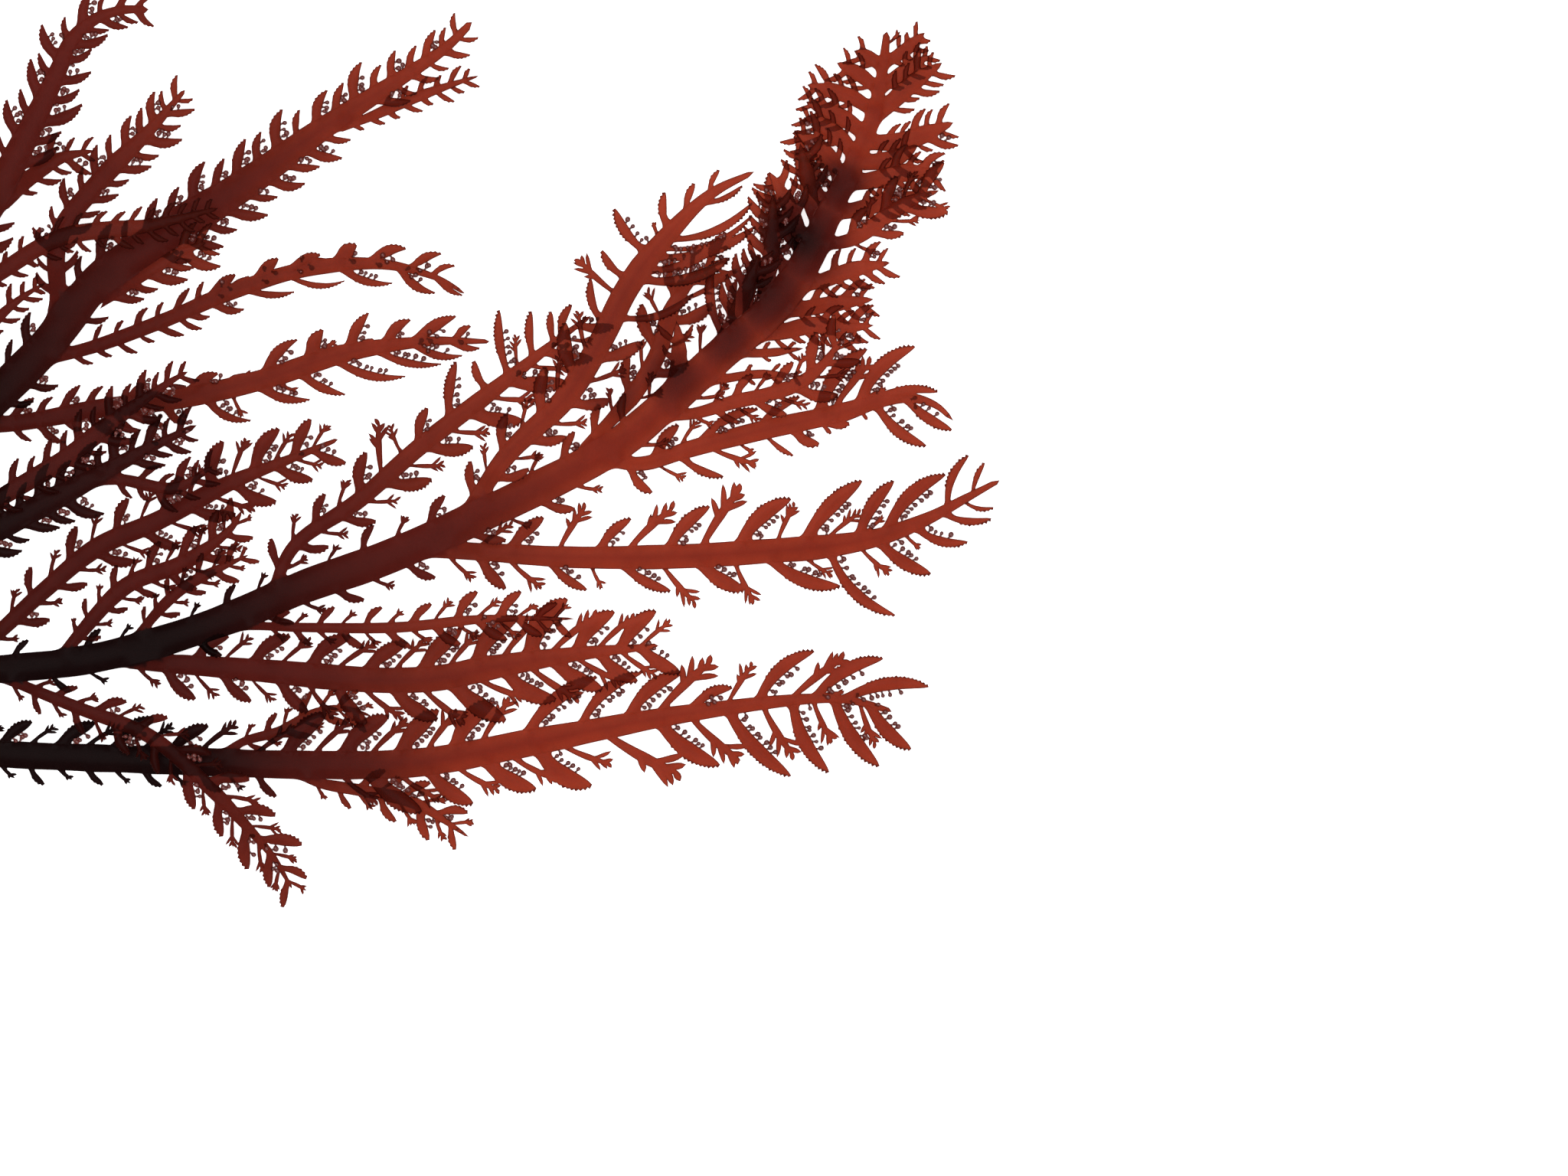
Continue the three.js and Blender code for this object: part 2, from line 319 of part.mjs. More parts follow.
// The size of a leaflet at share u as a share of the longest
function leafletSize(u) {
  const growth = lerp(ROOT_SIZE, 1, Math.min(1, u / GROWN_AT));
  const taper = lerp(1, TIP_SIZE, Math.max(0, (u - 1 + TIP_SHARE) / TIP_SHARE));
  return growth * taper;
}

// The place and plan directions at share u of a route
function frameAt(curve, u) {
  const at = curve.getPointAt(u);
  const along = curve.getTangentAt(u).setZ(0).normalize();
  const left = new THREE.Vector3(-along.y, along.x, 0);
  return { at, along, left };
}

// The share of a route nearest to a point in plan
function nearestShare(curve, point) {
  let best = 0;
  let least = Infinity;
  for (let i = 0; i <= ROUTE_STEPS; i++) {
    const here = curve.getPointAt(i / ROUTE_STEPS);
    const far = Math.hypot(here.x - point[0], here.y - point[1]);
    if (far < least) {
      least = far;
      best = i / ROUTE_STEPS;
    }
  }
  return best;
}

// On which side of a route, at share u, a point lies: 1 is left
function sideOf(curve, u, point) {
  const { at, left } = frameAt(curve, u);
  return Math.sign((point[0] - at.x) * left.x + (point[1] - at.y) * left.y);
}

// Whether the stretch from a to b crosses that from c to d in plan
function stretchesCross(a, b, c, d) {
  const turn = (p, q, r) => Math.sign((q.x - p.x) * (r.y - p.y) - (q.y - p.y) * (r.x - p.x));
  return turn(a, b, c) !== turn(a, b, d) && turn(c, d, a) !== turn(c, d, b);
}

// Whether the points added to the end of a margin cross the leaflets before them
function crossesMargin(margin, added) {
  const line = [...margin.slice(-MARGIN_CHECK), ...added].map(({ point }) => point);
  for (let i = Math.max(1, line.length - added.length); i < line.length; i++) {
    for (let j = 1; j < i - 1; j++) {
      if (stretchesCross(line[i - 1], line[i], line[j - 1], line[j])) {
        return true;
      }
    }
  }
  return false;
}

// The measured leaflets and branchlets of an axis, with their reach along and across it
function measuredNodes(axis, curve) {
  const read = (list, simple) => list.map(([footX, footY, tipX, tipY, breadth]) => {
    const u = nearestShare(curve, [footX, footY]);
    const side = sideOf(curve, nearestShare(curve, [tipX, tipY]), [tipX, tipY]);
    const { at, along, left } = frameAt(curve, u);
    const reach = new THREE.Vector3(tipX - at.x, tipY - at.y, 0);
    const forward = Math.max(LEAST_REACH, reach.dot(along));
    const outward = Math.max(LEAST_REACH, side * reach.dot(left) - halfWidth(axis, u));
    return { side, u, simple, forward, outward, breadth: Math.min(breadth, outward) };
  });
  return [...read(axis.leafletsAt ?? [], true), ...read(axis.branchletsAt ?? [], false)];
}

// Leaflets and branchlets at regular nodes, one of each opposite the other and by turns
function regularNodes(axis, length, draw) {
  const nodes = [];
  const pitch = axis.pitch * (axis.leaflet < LARGE_LEAFLET ? SMALL_PITCH_SHARE : 1);
  let turn = draw() < 0.5 ? 1 : -1;
  for (let along = axis.bare; along < length - TIP_GAP * pitch;) {
    const u = along / length;
    for (const side of [turn, -turn]) {
      const simple = side === turn;
      const share = (simple ? 1 : BRANCHLET_SHARE) * (1 - SIZE_SPREAD * draw());
      const size = axis.leaflet * leafletSize(u) * share;
      const forward = size * (simple ? LEAFLET_FORWARD : BRANCHLET_FORWARD);
      const outward = size * (simple ? LEAFLET_OUTWARD : BRANCHLET_OUTWARD);
      nodes.push({ side, u, simple, forward, outward, breadth: size * LEAFLET_BREADTH });
    }
    turn = -turn;
    along += pitch * lerp(1, CROWDED_PITCH, Math.max(0, (u - CROWDED_FROM) / (1 - CROWDED_FROM)));
  }
  return nodes;
}

// All leaflets and branchlets of an axis in the order of their feet, regular up to the first measured one
function nodesOf(axis, curve, draw) {
  const length = curve.getLength();
  const measured = measuredNodes(axis, curve);
  const before = (node) => measured.every(({ side, u }) => (
    side !== node.side || (u - node.u) * length > MEASURED_GAP * axis.pitch));
  return [...regularNodes(axis, length, draw).filter(before), ...measured].sort((a, b) => a.u - b.u);
}

// The outline points of a leaflet, as reach along and across its axis from its foot
function leafletForm({ forward, outward, breadth }) {
  const aside = breadth / Math.hypot(forward, outward);
  return LEAFLET_OUTLINE.map(([way, out]) => [
    way * forward - out * aside * outward,
    way * outward + out * aside * forward,
  ]);
}

function branchletForm(outline, { forward, outward }) {
  return outline.map(([along, out]) => [along * forward, out * outward]);
}

// The outline of one blade: its axis with leaflets and branchlets cut to the rib, as points in plan that
// carry their height and thickness. A branchlet makes way for a leaflet that would cross it, and any other
// that would cross its neighbour is made shorter or left out.
function bladeOutline(axis, curve, taken, draw) {
  const length = curve.getLength();
  const large = axis.leaflet >= LARGE_LEAFLET;
  const tiny = axis.leaflet < TINY_LEAFLET;
  const forked = large ? BRANCHLET_MANY : BRANCHLET_FEW;
  const margins = { 1: [], '-1': [] };
  const marginPoint = (side, u, forward, outward, thickness) => {
    const { at, along, left } = frameAt(curve, u);
    const out = halfWidth(axis, u) + outward;
    const point = at.clone().addScaledVector(along, forward).addScaledVector(left, side * out);
    point.z += LEAFLET_LIFT * outward;
    return { point, thickness };
  };
  const appendage = (node, scale) => {
    const { side, u, simple, outward, breadth } = node;
    const foot = scale * (simple ? LEAFLET_FOOT * breadth : BRANCHLET_FOOT * outward);
    const form = simple && !tiny ? leafletForm(node) : branchletForm(tiny ? TINY_OUTLINE : forked, node);
    const points = [marginPoint(side, u, -foot, 0, axisThickness(axis, u))];
    for (const [along, out] of form) {
      points.push(marginPoint(side, u, along * scale, out * scale, LEAFLET_THICKNESS));
    }
    if (large) {
      const front = Math.min(1, u + (FRONT_FOOT * foot) / length);
      points.push(marginPoint(side, front, 0, 0, axisThickness(axis, front)));
    }
    return points;
  };
  for (let along = BARE_STEP; along < axis.bare - BARE_STEP / 2; along += BARE_STEP) {
    const u = along / length;
    for (const side of [1, -1]) {
      margins[side].push({ points: [marginPoint(side, u, 0, 0, axisThickness(axis, u))] });
    }
  }
  for (const node of nodesOf(axis, curve, draw)) {
    const { side, u, simple } = node;
    const groups = margins[side];
    const blocked = taken.some((root) => root.side === side && Math.abs(root.at - u * length) < root.clear);
    const tries = blocked ? [] : SHORTER_TRIES.map((scale) => appendage(node, scale));
    const fits = (points) => !crossesMargin(groups.flatMap((group) => group.points), points);
    if (simple && tries.length && !fits(tries[0]) && groups.at(-1)?.forked) {
      groups.pop();
    }
    const bare = [marginPoint(side, u, 0, 0, axisThickness(axis, u))];
    groups.push({ points: [...tries, bare].find(fits) ?? [], forked: !simple });
  }
  const margin = (side) => margins[side].flatMap((group) => group.points);
  const root = frameAt(curve, 0);
  const rootCorner = (side) => ({
    point: root.at.clone().addScaledVector(root.left, side * halfWidth(axis, 0)),
    thickness: axisThickness(axis, 0),
  });
  const tip = { point: curve.getPointAt(1), thickness: AXIS_TIP_THICKNESS };
  return [rootCorner(-1), ...margin(-1), tip, ...margin(1).reverse(), rootCorner(1)];
}

// A closed blade: both faces of the outline are split into the same triangles, and a wall joins them
function bladeSolid(outline) {
  const plan = outline.map(({ point }) => new THREE.Vector2(point.x, point.y));
  const faces = THREE.ShapeUtils.triangulateShape(plan, []);
  const count = outline.length;
  const positions = [];
  for (const face of [-1, 1]) {
    for (const { point, thickness } of outline) {
      positions.push(point.x, point.y, point.z + (face * thickness) / 2);
    }
  }
  const index = [];
  for (const [a, b, c] of faces) {
    index.push(count + a, count + b, count + c, c, b, a);
  }
  for (let i = 0; i < count; i++) {
    const next = (i + 1) % count;
    index.push(i, next, count + next, i, count + next, count + i);
  }
  const geometry = new THREE.BufferGeometry();
  geometry.setAttribute('position', new THREE.Float32BufferAttribute(positions, 3));
  geometry.setIndex(index);
  return geometry;
}

// A solid that can be joined or cut, from a geometry whose shared vertices are merged
function toSolid(geometry) {
  geometry.deleteAttribute('normal');
  geometry.deleteAttribute('uv');
  const merged = mergeVertices(geometry, 1e-4);
  return new wasm.Manifold(new wasm.Mesh({
    numProp: 3,
    vertProperties: new Float32Array(merged.attributes.position.array),
    triVerts: new Uint32Array(merged.index.array),
  }));
}

function toMesh(name, solid, material) {
  const { vertProperties, triVerts } = solid.getMesh();
  const geometry = new THREE.BufferGeometry();
  geometry.setAttribute('position', new THREE.BufferAttribute(vertProperties, 3));
  geometry.setIndex(new THREE.BufferAttribute(triVerts, 1));
  geometry.computeVertexNormals();
  const mesh = new THREE.Mesh(geometry, material);
  mesh.name = name;
  return mesh;
}

// One frond: every axis of it is a blade, its root sunk into the middle of the axis that bears it
function makeFrond(name, axes, material, draw) {
  const curves = new Map();
  for (const axis of axes) {
    const points = axis.route.map(([x, y, z]) => new THREE.Vector3(x, y, z));
    if (axis.on) {
      const bearer = curves.get(axis.on);
      points[0] = bearer.getPointAt(nearestShare(bearer, axis.route[0]));
    }
    curves.set(axis.name ?? axis, new THREE.CatmullRomCurve3(points, false, 'centripetal'));
  }
  const solids = axes.map((axis) => {
    const curve = curves.get(axis.name ?? axis);
    const taken = axes.filter((other) => axis.name && other.on === axis.name).map((other) => {
      const u = nearestShare(curve, other.route[0]);
      const side = sideOf(curve, u, other.route[1]);
      return { at: u * curve.getLength(), side, clear: SIDE_AXIS_GAP * axis.pitch };
    });
    return toSolid(bladeSolid(bladeOutline(axis, curve, taken, draw)));
  });
  return toMesh(name, solids.reduce((joined, next) => joined.add(next)), material);
}

// A square-cut pocket in the old stem round the neck of a frond
function socketFor(route) {
  const [x0, y0, z0] = route[0];
  const [x1, y1] = route[1];
  const turn = Math.atan2(y1 - y0, x1 - x0);
  const pocket = new THREE.BoxGeometry(SOCKET_REACH, ROOT_NECK_WIDTH + 2 * SOCKET_CLEARANCE,
    MAIN_ROOT_THICKNESS + 2 * SOCKET_CLEARANCE);
  pocket.translate(SOCKET_REACH / 2 - SOCKET_CLEARANCE, 0, 0);
  pocket.rotateZ(turn);
  pocket.translate(x0, y0, z0);
  return toSolid(pocket);
}

// The old stem, cut across at its left end, flat below and rounded along its edges
function makeStem(material) {
  const outline = new THREE.Shape(STEM_OUTLINE.map(([x, y]) => new THREE.Vector2(x, y)));
  const stem = new THREE.ExtrudeGeometry(outline, {
    depth: STEM_THICKNESS - 2 * STEM_ROUNDING,
    bevelThickness: STEM_ROUNDING,
    bevelSize: STEM_ROUNDING,
    bevelOffset: -STEM_ROUNDING,
    bevelSegments: 2,
  });
  stem.translate(0, 0, STEM_ROUNDING);
  const pockets = Object.values(FRONDS).map((axes) => socketFor(axes[0].route));
  const body = pockets.reduce((cut, pocket) => cut.subtract(pocket), toSolid(stem));
  return toMesh('old_stem', body, material);
}

const bladeRed = new THREE.MeshStandardMaterial({ color: 0x963c2a, roughness: 0.45, metalness: 0 });
const stemMaroon = new THREE.MeshStandardMaterial({ color: 0x3a120e, roughness: 0.55, metalness: 0 });

const spray = new THREE.Group();
const draw = drawFrom(SEED);
spray.add(makeStem(stemMaroon));
for (const [name, axes] of Object.entries(FRONDS)) {
  spray.add(makeFrond(name, axes, bladeRed, draw));
}

export default spray;
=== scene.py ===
# Ptilota asplenioides, a red seaweed: a cut spray lying spread out on a pale, evenly lit table.
# Every frond of the frame is replaced by a fine blade of the same routes: serrated sickle leaflets
# and forked branchlets opposite each other, with dark stalked beads on the inner margins.
# Routes and sizes are in millimetres, as in the part's source, and MM turns them into metres.
import json
import math
import random

import bmesh
import bpy
import numpy as np
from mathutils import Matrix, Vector, kdtree, noise
from mathutils.geometry import delaunay_2d_cdt

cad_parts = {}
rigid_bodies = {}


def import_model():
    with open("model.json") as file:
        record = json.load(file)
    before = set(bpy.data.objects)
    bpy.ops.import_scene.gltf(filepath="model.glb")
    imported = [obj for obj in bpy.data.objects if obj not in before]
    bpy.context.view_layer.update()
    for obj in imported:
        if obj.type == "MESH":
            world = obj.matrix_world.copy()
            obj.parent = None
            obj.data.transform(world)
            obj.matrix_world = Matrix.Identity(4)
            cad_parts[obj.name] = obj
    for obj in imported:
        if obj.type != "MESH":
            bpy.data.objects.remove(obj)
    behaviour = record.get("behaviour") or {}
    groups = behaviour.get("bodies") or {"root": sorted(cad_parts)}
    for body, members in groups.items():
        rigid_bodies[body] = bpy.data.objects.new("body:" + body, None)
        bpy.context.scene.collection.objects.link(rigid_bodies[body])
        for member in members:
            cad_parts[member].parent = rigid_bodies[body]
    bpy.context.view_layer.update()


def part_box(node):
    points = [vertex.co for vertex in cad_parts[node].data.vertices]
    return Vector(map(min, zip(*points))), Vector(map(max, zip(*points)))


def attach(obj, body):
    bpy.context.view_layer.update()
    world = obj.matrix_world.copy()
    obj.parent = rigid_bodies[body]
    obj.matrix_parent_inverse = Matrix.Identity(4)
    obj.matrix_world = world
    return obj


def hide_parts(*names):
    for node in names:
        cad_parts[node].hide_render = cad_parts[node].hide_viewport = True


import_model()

bl_info = {
    "name": "Red seaweed spray",
    "version": (1, 0, 0),
    "blender": (4, 5, 0),
    "location": "View3D > Sidebar > Seaweed",
    "description": "Builds a spray of a feathery red seaweed on a pale table",
    "category": "Object",
}

MM = 0.001
STEM_MID = 1.4

# Each frond: its main axis first, which has a name, then the axes that grow from it. A side axis starts
# at the nearest point of the axis it is on. width, leaflet and pitch are the widest blade, the longest
# leaflet and the distance between nodes; bare is the stretch without leaflets at the root, and root the
# width there as a share. A dense axis has leaflets on both sides of its nodes. On the right of an axis
# the leaflets are halved up to the station worn. leaflets_at and branchlets_at hold the foot and the tip
# of each one seen clearly, and a leaflet's breadth; the others follow the rule of alternating nodes.
FRONDS = {
    "lower_frond": [
        dict(name="lower", width=2.3, leaflet=5.2, pitch=2.7, bare=20, root=0.88, worn=50, route=[
            (6.8, -0.9, STEM_MID), (9.4, -2.3, STEM_MID), (12.8, -3.4, 1.3), (20.5, -4.8, 1.2),
            (28, -5.5, 1.2), (40.5, -6, 1.2), (53, -6.4, 1.1), (62.4, -6.2, 1), (71.8, -4.5, 0.9),
            (84.3, -2.2, 0.6), (95.5, -1, 0.36), (98.6, -1.4, 0.34), (100.8, -2.1, 0.34)],
            leaflets_at=[
                (71.4, -4.1, 76.8, 0.7, 1.5), (75.8, -3.6, 80.5, 1.1, 1.2), (79.6, -2.6, 83.8, 1.1, 1.5),
                (84.9, -1.9, 87.8, -0.2, 1.1), (90.1, -0.6, 94.5, 2.8, 1.4),
                (94.8, -0.9, 100.1, 2.2, 1.4), (97.4, -0.8, 103.8, -0.1, 1.4),
                (82.2, -3.6, 86.8, -6.4, 1.8), (87.8, -3.2, 92.6, -7.3, 1.6),
                (92.9, -2.8, 95.7, -7, 1.5), (96.1, -2.6, 99.8, -6.5, 1.6),
                (98.9, -2.4, 102.4, -5.1, 1.5)],
            branchlets_at=[
                (82.2, -2.4, 86.1, 2), (87.6, -1.4, 89.5, 1.8), (93, -1.1, 96.9, 2.3),
                (95.6, -1.6, 96.9, -0.6), (78, -4.6, 83.6, -7.2), (84.8, -3.8, 88.5, -6.1),
                (90.5, -2.9, 92.8, -5.7), (94.5, -2.8, 96, -4.6), (98, -2.9, 99.5, -4.8)]),
        dict(on="lower", width=1.1, leaflet=2.7, pitch=2, bare=2, route=[
            (50.8, -6.5, 1.1), (54.3, -7.9, 0.52), (58, -8.6, 0.46), (61.8, -9.5, 0.44),
            (66.3, -12.3, 0.42)]),
        dict(on="lower", width=0.9, leaflet=2.3, pitch=1.9, bare=2, route=[
            (45.2, -5.8, 1.1), (48, -4.5, 0.52), (50.8, -3.7, 0.46), (53.3, -2.4, 0.44), (55.8, -1.8, 0.42),
            (58.3, -2.4, 0.42)]),
    ],
    "central_frond": [
        dict(name="central", width=2.75, leaflet=2.8, pitch=3.5, bare=12, root=0.72, route=[
            (11.6, 0.6, STEM_MID), (14.6, 0.6, STEM_MID), (20.5, 0.7, 1.6), (28, 1.4, 2), (34.3, 2, 2.1),
            (40.5, 3.4, 2.2), (46.8, 5.5, 2.3), (53, 8.1, 2.4), (59.3, 10.3, 2.5), (65.5, 13, 2.6),
            (71.8, 16, 2.6), (78, 19.3, 2.6), (82.4, 22.9, 2.5), (86.8, 26.9, 2.4), (91.1, 30.7, 2.2),
            (93.9, 34.7, 2), (95.9, 39, 1.7), (97.9, 42.9, 1.3), (99.3, 46.6, 0.9), (100, 50, 0.56),
            (100.4, 53.4, 0.34)],
            leaflets_at=[
                (86.1, 29.7, 86.3, 34.6, 1), (87.3, 30.1, 88.2, 33.1, 0.9), (89, 30.7, 90.1, 35.1, 1.5),
                (91.8, 34.2, 90.9, 40, 1.7), (92.8, 35.8, 90.8, 41.8, 1.3), (95, 39.6, 93.3, 44, 1.9),
                (95.2, 41.1, 92.9, 45.2, 1.1)]),
        dict(on="central", width=1.6, leaflet=4.2, pitch=2.6, bare=3, route=[
            (49.6, 8.5, 2.4), (52.1, 11.3, 2), (57.4, 15.1, 2), (62.4, 19.5, 2), (68, 23.8, 2),
            (74.6, 28.9, 2), (76.3, 30.1, 2)],
            leaflets_at=[
                (61.8, 20.9, 63.1, 22.6, 1.1), (64.6, 22.4, 65.4, 26.4, 1.1),
                (67.8, 24.2, 66.9, 26.5, 0.9), (68.9, 26.3, 68.9, 30.6, 1),
                (71.2, 27.5, 71.5, 30.5, 0.9), (72.5, 29.1, 73.1, 30.5, 0.8), (74.4, 28, 74.8, 31, 0.9)],
            branchlets_at=[
                (58.4, 18.5, 59.1, 21.5), (60.5, 19.4, 60, 21.2), (70, 26.6, 70.2, 28.5)]),
        dict(on="central", width=1.95, leaflet=4.7, pitch=2.5, bare=3, route=[
            (65.2, 13.9, 2.6), (69.6, 18.8, 3.6), (74.3, 23.4, 3.7), (77.1, 27.9, 3.6), (79.3, 32.3, 3.4),
            (82.3, 36.3, 3.1), (86.1, 40, 2.8), (89.6, 41.8, 2.6)],
            leaflets_at=[
                (76.5, 30.1, 76.4, 33.1, 0.9), (78.3, 33.7, 77.3, 35.4, 0.9),
                (80.3, 35.6, 78.3, 38.8, 1.1), (82.3, 37.5, 82.4, 40.1, 0.9),
                (84.2, 38.8, 84.8, 40.8, 0.8), (86, 40.3, 86.8, 41.9, 0.6),
                (85.5, 39.6, 88.6, 40.7, 0.6), (82.3, 37.2, 89.4, 39.3, 0.9),
                (82, 36.1, 89.4, 38.3, 0.7), (81.6, 35.2, 89.7, 37.4, 1.1), (81.4, 33.7, 86.1, 35.4, 1),
                (82, 32.2, 87.6, 34.8, 1.2), (79.2, 29.8, 84.6, 31.9, 0.9)],
            branchlets_at=[
                (77.9, 32.2, 75.3, 34.7), (81.6, 36.8, 81.4, 37.7)]),
        dict(on="central", width=1.6, leaflet=3.6, pitch=2.6, bare=3, route=[
            (73.3, 17.1, 2.6), (78.3, 21.9, 1.5), (81.6, 26.8, 1.3), (82.9, 30.8, 1.3), (85, 33.6, 1.3),
            (87.6, 34.9, 1.3)]),
        dict(on="central", width=1.3, leaflet=2.2, pitch=1.8, bare=1.2, dense=True, route=[
            (82.3, 22.9, 2.5), (83.3, 25.4, 3.8), (83.5, 27.6, 4.4), (83.3, 29.6, 4.6)]),
        dict(on="central", width=1.4, leaflet=2.8, pitch=1.5, bare=1.2, dense=True, route=[
            (85.8, 26, 2.4), (87.3, 28.5, 3.4), (88.5, 31, 3.6), (90, 35, 3.6)]),
        dict(on="central", width=1.4, leaflet=2.8, pitch=1.5, bare=1.2, dense=True, route=[
            (89.6, 29.3, 2.3), (90.5, 32.3, 3), (91, 35.4, 3.2), (91.1, 39.9, 3.2)]),
        dict(on="central", width=1.3, leaflet=2.5, pitch=1.5, bare=1.2, dense=True, route=[
            (93.5, 33.5, 2), (93.3, 36.3, 2.6), (92.4, 39, 2.8), (90.8, 41.8, 2.8)]),
        dict(on="central", width=1.3, leaflet=2.3, pitch=1.5, bare=1.2, dense=True, route=[
            (95, 37, 1.8), (94.2, 39.2, 2.2), (93.9, 41.3, 2.4), (93.3, 44.1, 2.4)]),
        dict(on="central", width=1.5, leaflet=2.2, pitch=1.3, bare=1, dense=True, route=[
            (97.1, 40.7, 1.5), (95.8, 42.8, 1.8), (94.6, 44, 1.8), (92.8, 45.2, 1.8)]),
        dict(on="central", width=1.4, leaflet=2.1, pitch=1.3, bare=1, dense=True, route=[
            (98, 42.9, 1.3), (96.4, 44.8, 1.4), (95, 45.7, 1.4), (93.6, 46.3, 1.4)]),
        dict(on="central", width=1.4, leaflet=2.1, pitch=1.3, bare=1, dense=True, route=[
            (98.6, 44.9, 1.1), (97.1, 46.1, 1.1), (93.8, 47.6, 1.1)]),
        dict(on="central", width=1.3, leaflet=2, pitch=1.3, bare=1, dense=True, route=[
            (99.3, 46.8, 0.9), (97.5, 48, 0.9), (93.9, 49, 0.9)]),
        dict(on="central", width=1.2, leaflet=1.9, pitch=1.3, bare=1, dense=True, route=[
            (99.7, 48.6, 0.7), (98.1, 49.9, 0.7), (96.3, 50.8, 0.7)]),
        dict(on="central", width=1.1, leaflet=1.6, pitch=1.3, bare=1, dense=True, route=[
            (100, 50.4, 0.5), (98.9, 51.3, 0.5), (97.7, 51.8, 0.5)]),
        dict(on="central", width=1.4, leaflet=2, pitch=1.3, bare=1, dense=True, route=[
            (96.4, 38, 1.6), (98.4, 38.9, 1.3), (100.7, 39.6, 1.2), (103.2, 40.2, 1.1)]),
        dict(on="central", width=1.5, leaflet=2.2, pitch=1.3, bare=1, dense=True, route=[
            (97.7, 40.4, 1.5), (99.9, 41.3, 2), (102.1, 41.8, 2), (104.6, 41.7, 2)]),
        dict(on="central", width=1.4, leaflet=2, pitch=1.3, bare=1, dense=True, route=[
            (98.3, 42.3, 1.3), (101.1, 43, 1.5), (102.9, 44, 1.5)]),
        dict(on="central", width=1.5, leaflet=2.2, pitch=1.3, bare=1, dense=True, route=[
            (98.9, 44.1, 1.2), (101.8, 44.4, 1.2), (103.8, 45.1, 1.2), (105.8, 45.9, 1.2)]),
        dict(on="central", width=1.4, leaflet=2.2, pitch=1.3, bare=1, dense=True, route=[
            (99.3, 46, 0.9), (100.8, 47.6, 0.9), (102.7, 49.3, 0.9), (104.9, 50.8, 0.9)]),
        dict(on="central", width=1.2, leaflet=1.5, pitch=1.1, bare=1, dense=True, route=[
            (99.9, 48.6, 0.7), (101.8, 50.1, 0.7), (103.8, 51.4, 0.7)]),
        dict(on="central", width=1.1, leaflet=1.2, pitch=1, bare=1, dense=True, route=[
            (100.2, 50.7, 0.5), (101.8, 51.8, 0.5), (103.5, 53.3, 0.5)]),
        dict(on="central", width=1.4, leaflet=3.4, pitch=2, bare=1.6, route=[
            (95.2, 35.4, 2), (97.7, 36.4, 2.4), (99.9, 37.9, 2.4), (102.2, 39.4, 2.4), (104.6, 40.3, 2.4)]),
        dict(on="central", width=1.3, leaflet=2.4, pitch=1.5, bare=1.4, dense=True, route=[
            (93, 31.9, 2.1), (95.2, 33, 2.6), (97.4, 33.8, 2.6), (100.6, 34.4, 2.6)]),
        dict(on="central", width=1.3, leaflet=2.4, pitch=1.5, bare=1.4, dense=True, route=[
            (91.1, 29.9, 2.2), (93.6, 30.7, 1.6), (95.8, 31.1, 1.4), (99.3, 31.5, 1.4)]),
        dict(on="central", width=1.4, leaflet=2.4, pitch=1.5, bare=1.4, dense=True, route=[
            (89.3, 27.9, 2.3), (91.8, 28.8, 3), (94.3, 29.3, 3.2), (96.8, 29.1, 3.2), (99.3, 29.3, 3.2)]),
        dict(on="central", width=0.8, leaflet=1, pitch=2.4, bare=1.4, route=[
            (87.7, 26.3, 2.4), (90.5, 27.1, 1.8), (93.6, 27.5, 1.6)]),
        dict(on="central", width=0.8, leaflet=1, pitch=2.4, bare=1.4, route=[
            (84.2, 23.6, 2.5), (86.8, 24.9, 1.8), (89.9, 25.4, 1.6), (93.6, 25.2, 1.6)]),
        dict(on="central", width=1.3, leaflet=3.1, pitch=2, bare=2, route=[
            (81.8, 21.3, 2.5), (84.9, 22.2, 3.2), (88, 23.1, 3.3), (91.1, 23.8, 3.3), (93.6, 24.8, 3.3),
            (95.5, 26.5, 3.8), (97.1, 28.8, 4.2)]),
        dict(on="central", width=1.6, leaflet=5, pitch=2.6, bare=3, route=[
            (77.4, 17.4, 2.6), (80.4, 18.1, 1.7), (84.3, 19.3, 1.4), (90.5, 20.9, 1.4), (96.8, 22.3, 1.4),
            (99.6, 23.2, 1.4), (102.1, 23.5, 1.4), (104.3, 22.9, 1.4), (105.8, 21.6, 1.4)],
            leaflets_at=[
                (83.9, 18.1, 87.1, 17.1, 0.9), (90.8, 20.2, 92.8, 18.8, 0.6),
                (92.9, 20.8, 94.9, 19.8, 1.1), (95.2, 21.5, 95.9, 20.6, 0.5),
                (95.8, 21.8, 97.3, 21.5, 0.9), (99.8, 22.2, 103.6, 19.6, 1.2),
                (102.2, 22.6, 105.7, 20.9, 1.1), (85.7, 19.8, 89.9, 22.5, 1),
                (90.6, 21, 93.3, 23.5, 0.9), (94.8, 23.2, 98.8, 27.4, 1.6),
                (98.3, 23.5, 102.7, 27.6, 1.5), (100.6, 23.8, 104.5, 23.9, 0.9)],
            branchlets_at=[
                (86.6, 18.7, 89.8, 18.1), (88.6, 19.3, 89.6, 19), (98.4, 22.2, 98.8, 21.7),
                (96.3, 22.9, 99.1, 26.4), (99.1, 23.2, 100.4, 24.2)]),
        dict(on="central", width=2, leaflet=6.2, pitch=2.9, bare=4, route=[
            (61.1, 10.9, 2.5), (63.9, 11.1, 1.9), (68, 10.9, 1.6), (74.9, 10.5, 1.5), (84.3, 10.6, 1.4),
            (90.5, 11, 1.2), (95.5, 11.4, 0.9), (99.9, 12.2, 0.6), (103.8, 13.7, 0.42), (106.8, 15.3, 0.38),
            (109.6, 16.8, 0.36)],
            leaflets_at=[
                (77.1, 11.2, 79.6, 13.6, 1.1), (82.8, 11.6, 86, 14.6, 1.4),
                (88.5, 12.2, 92.6, 15.2, 1.7), (93.9, 12.1, 98.4, 16.7, 1.7),
                (98.2, 12.6, 101, 16.7, 1.4), (100.8, 12.6, 105.2, 17.2, 1.5),
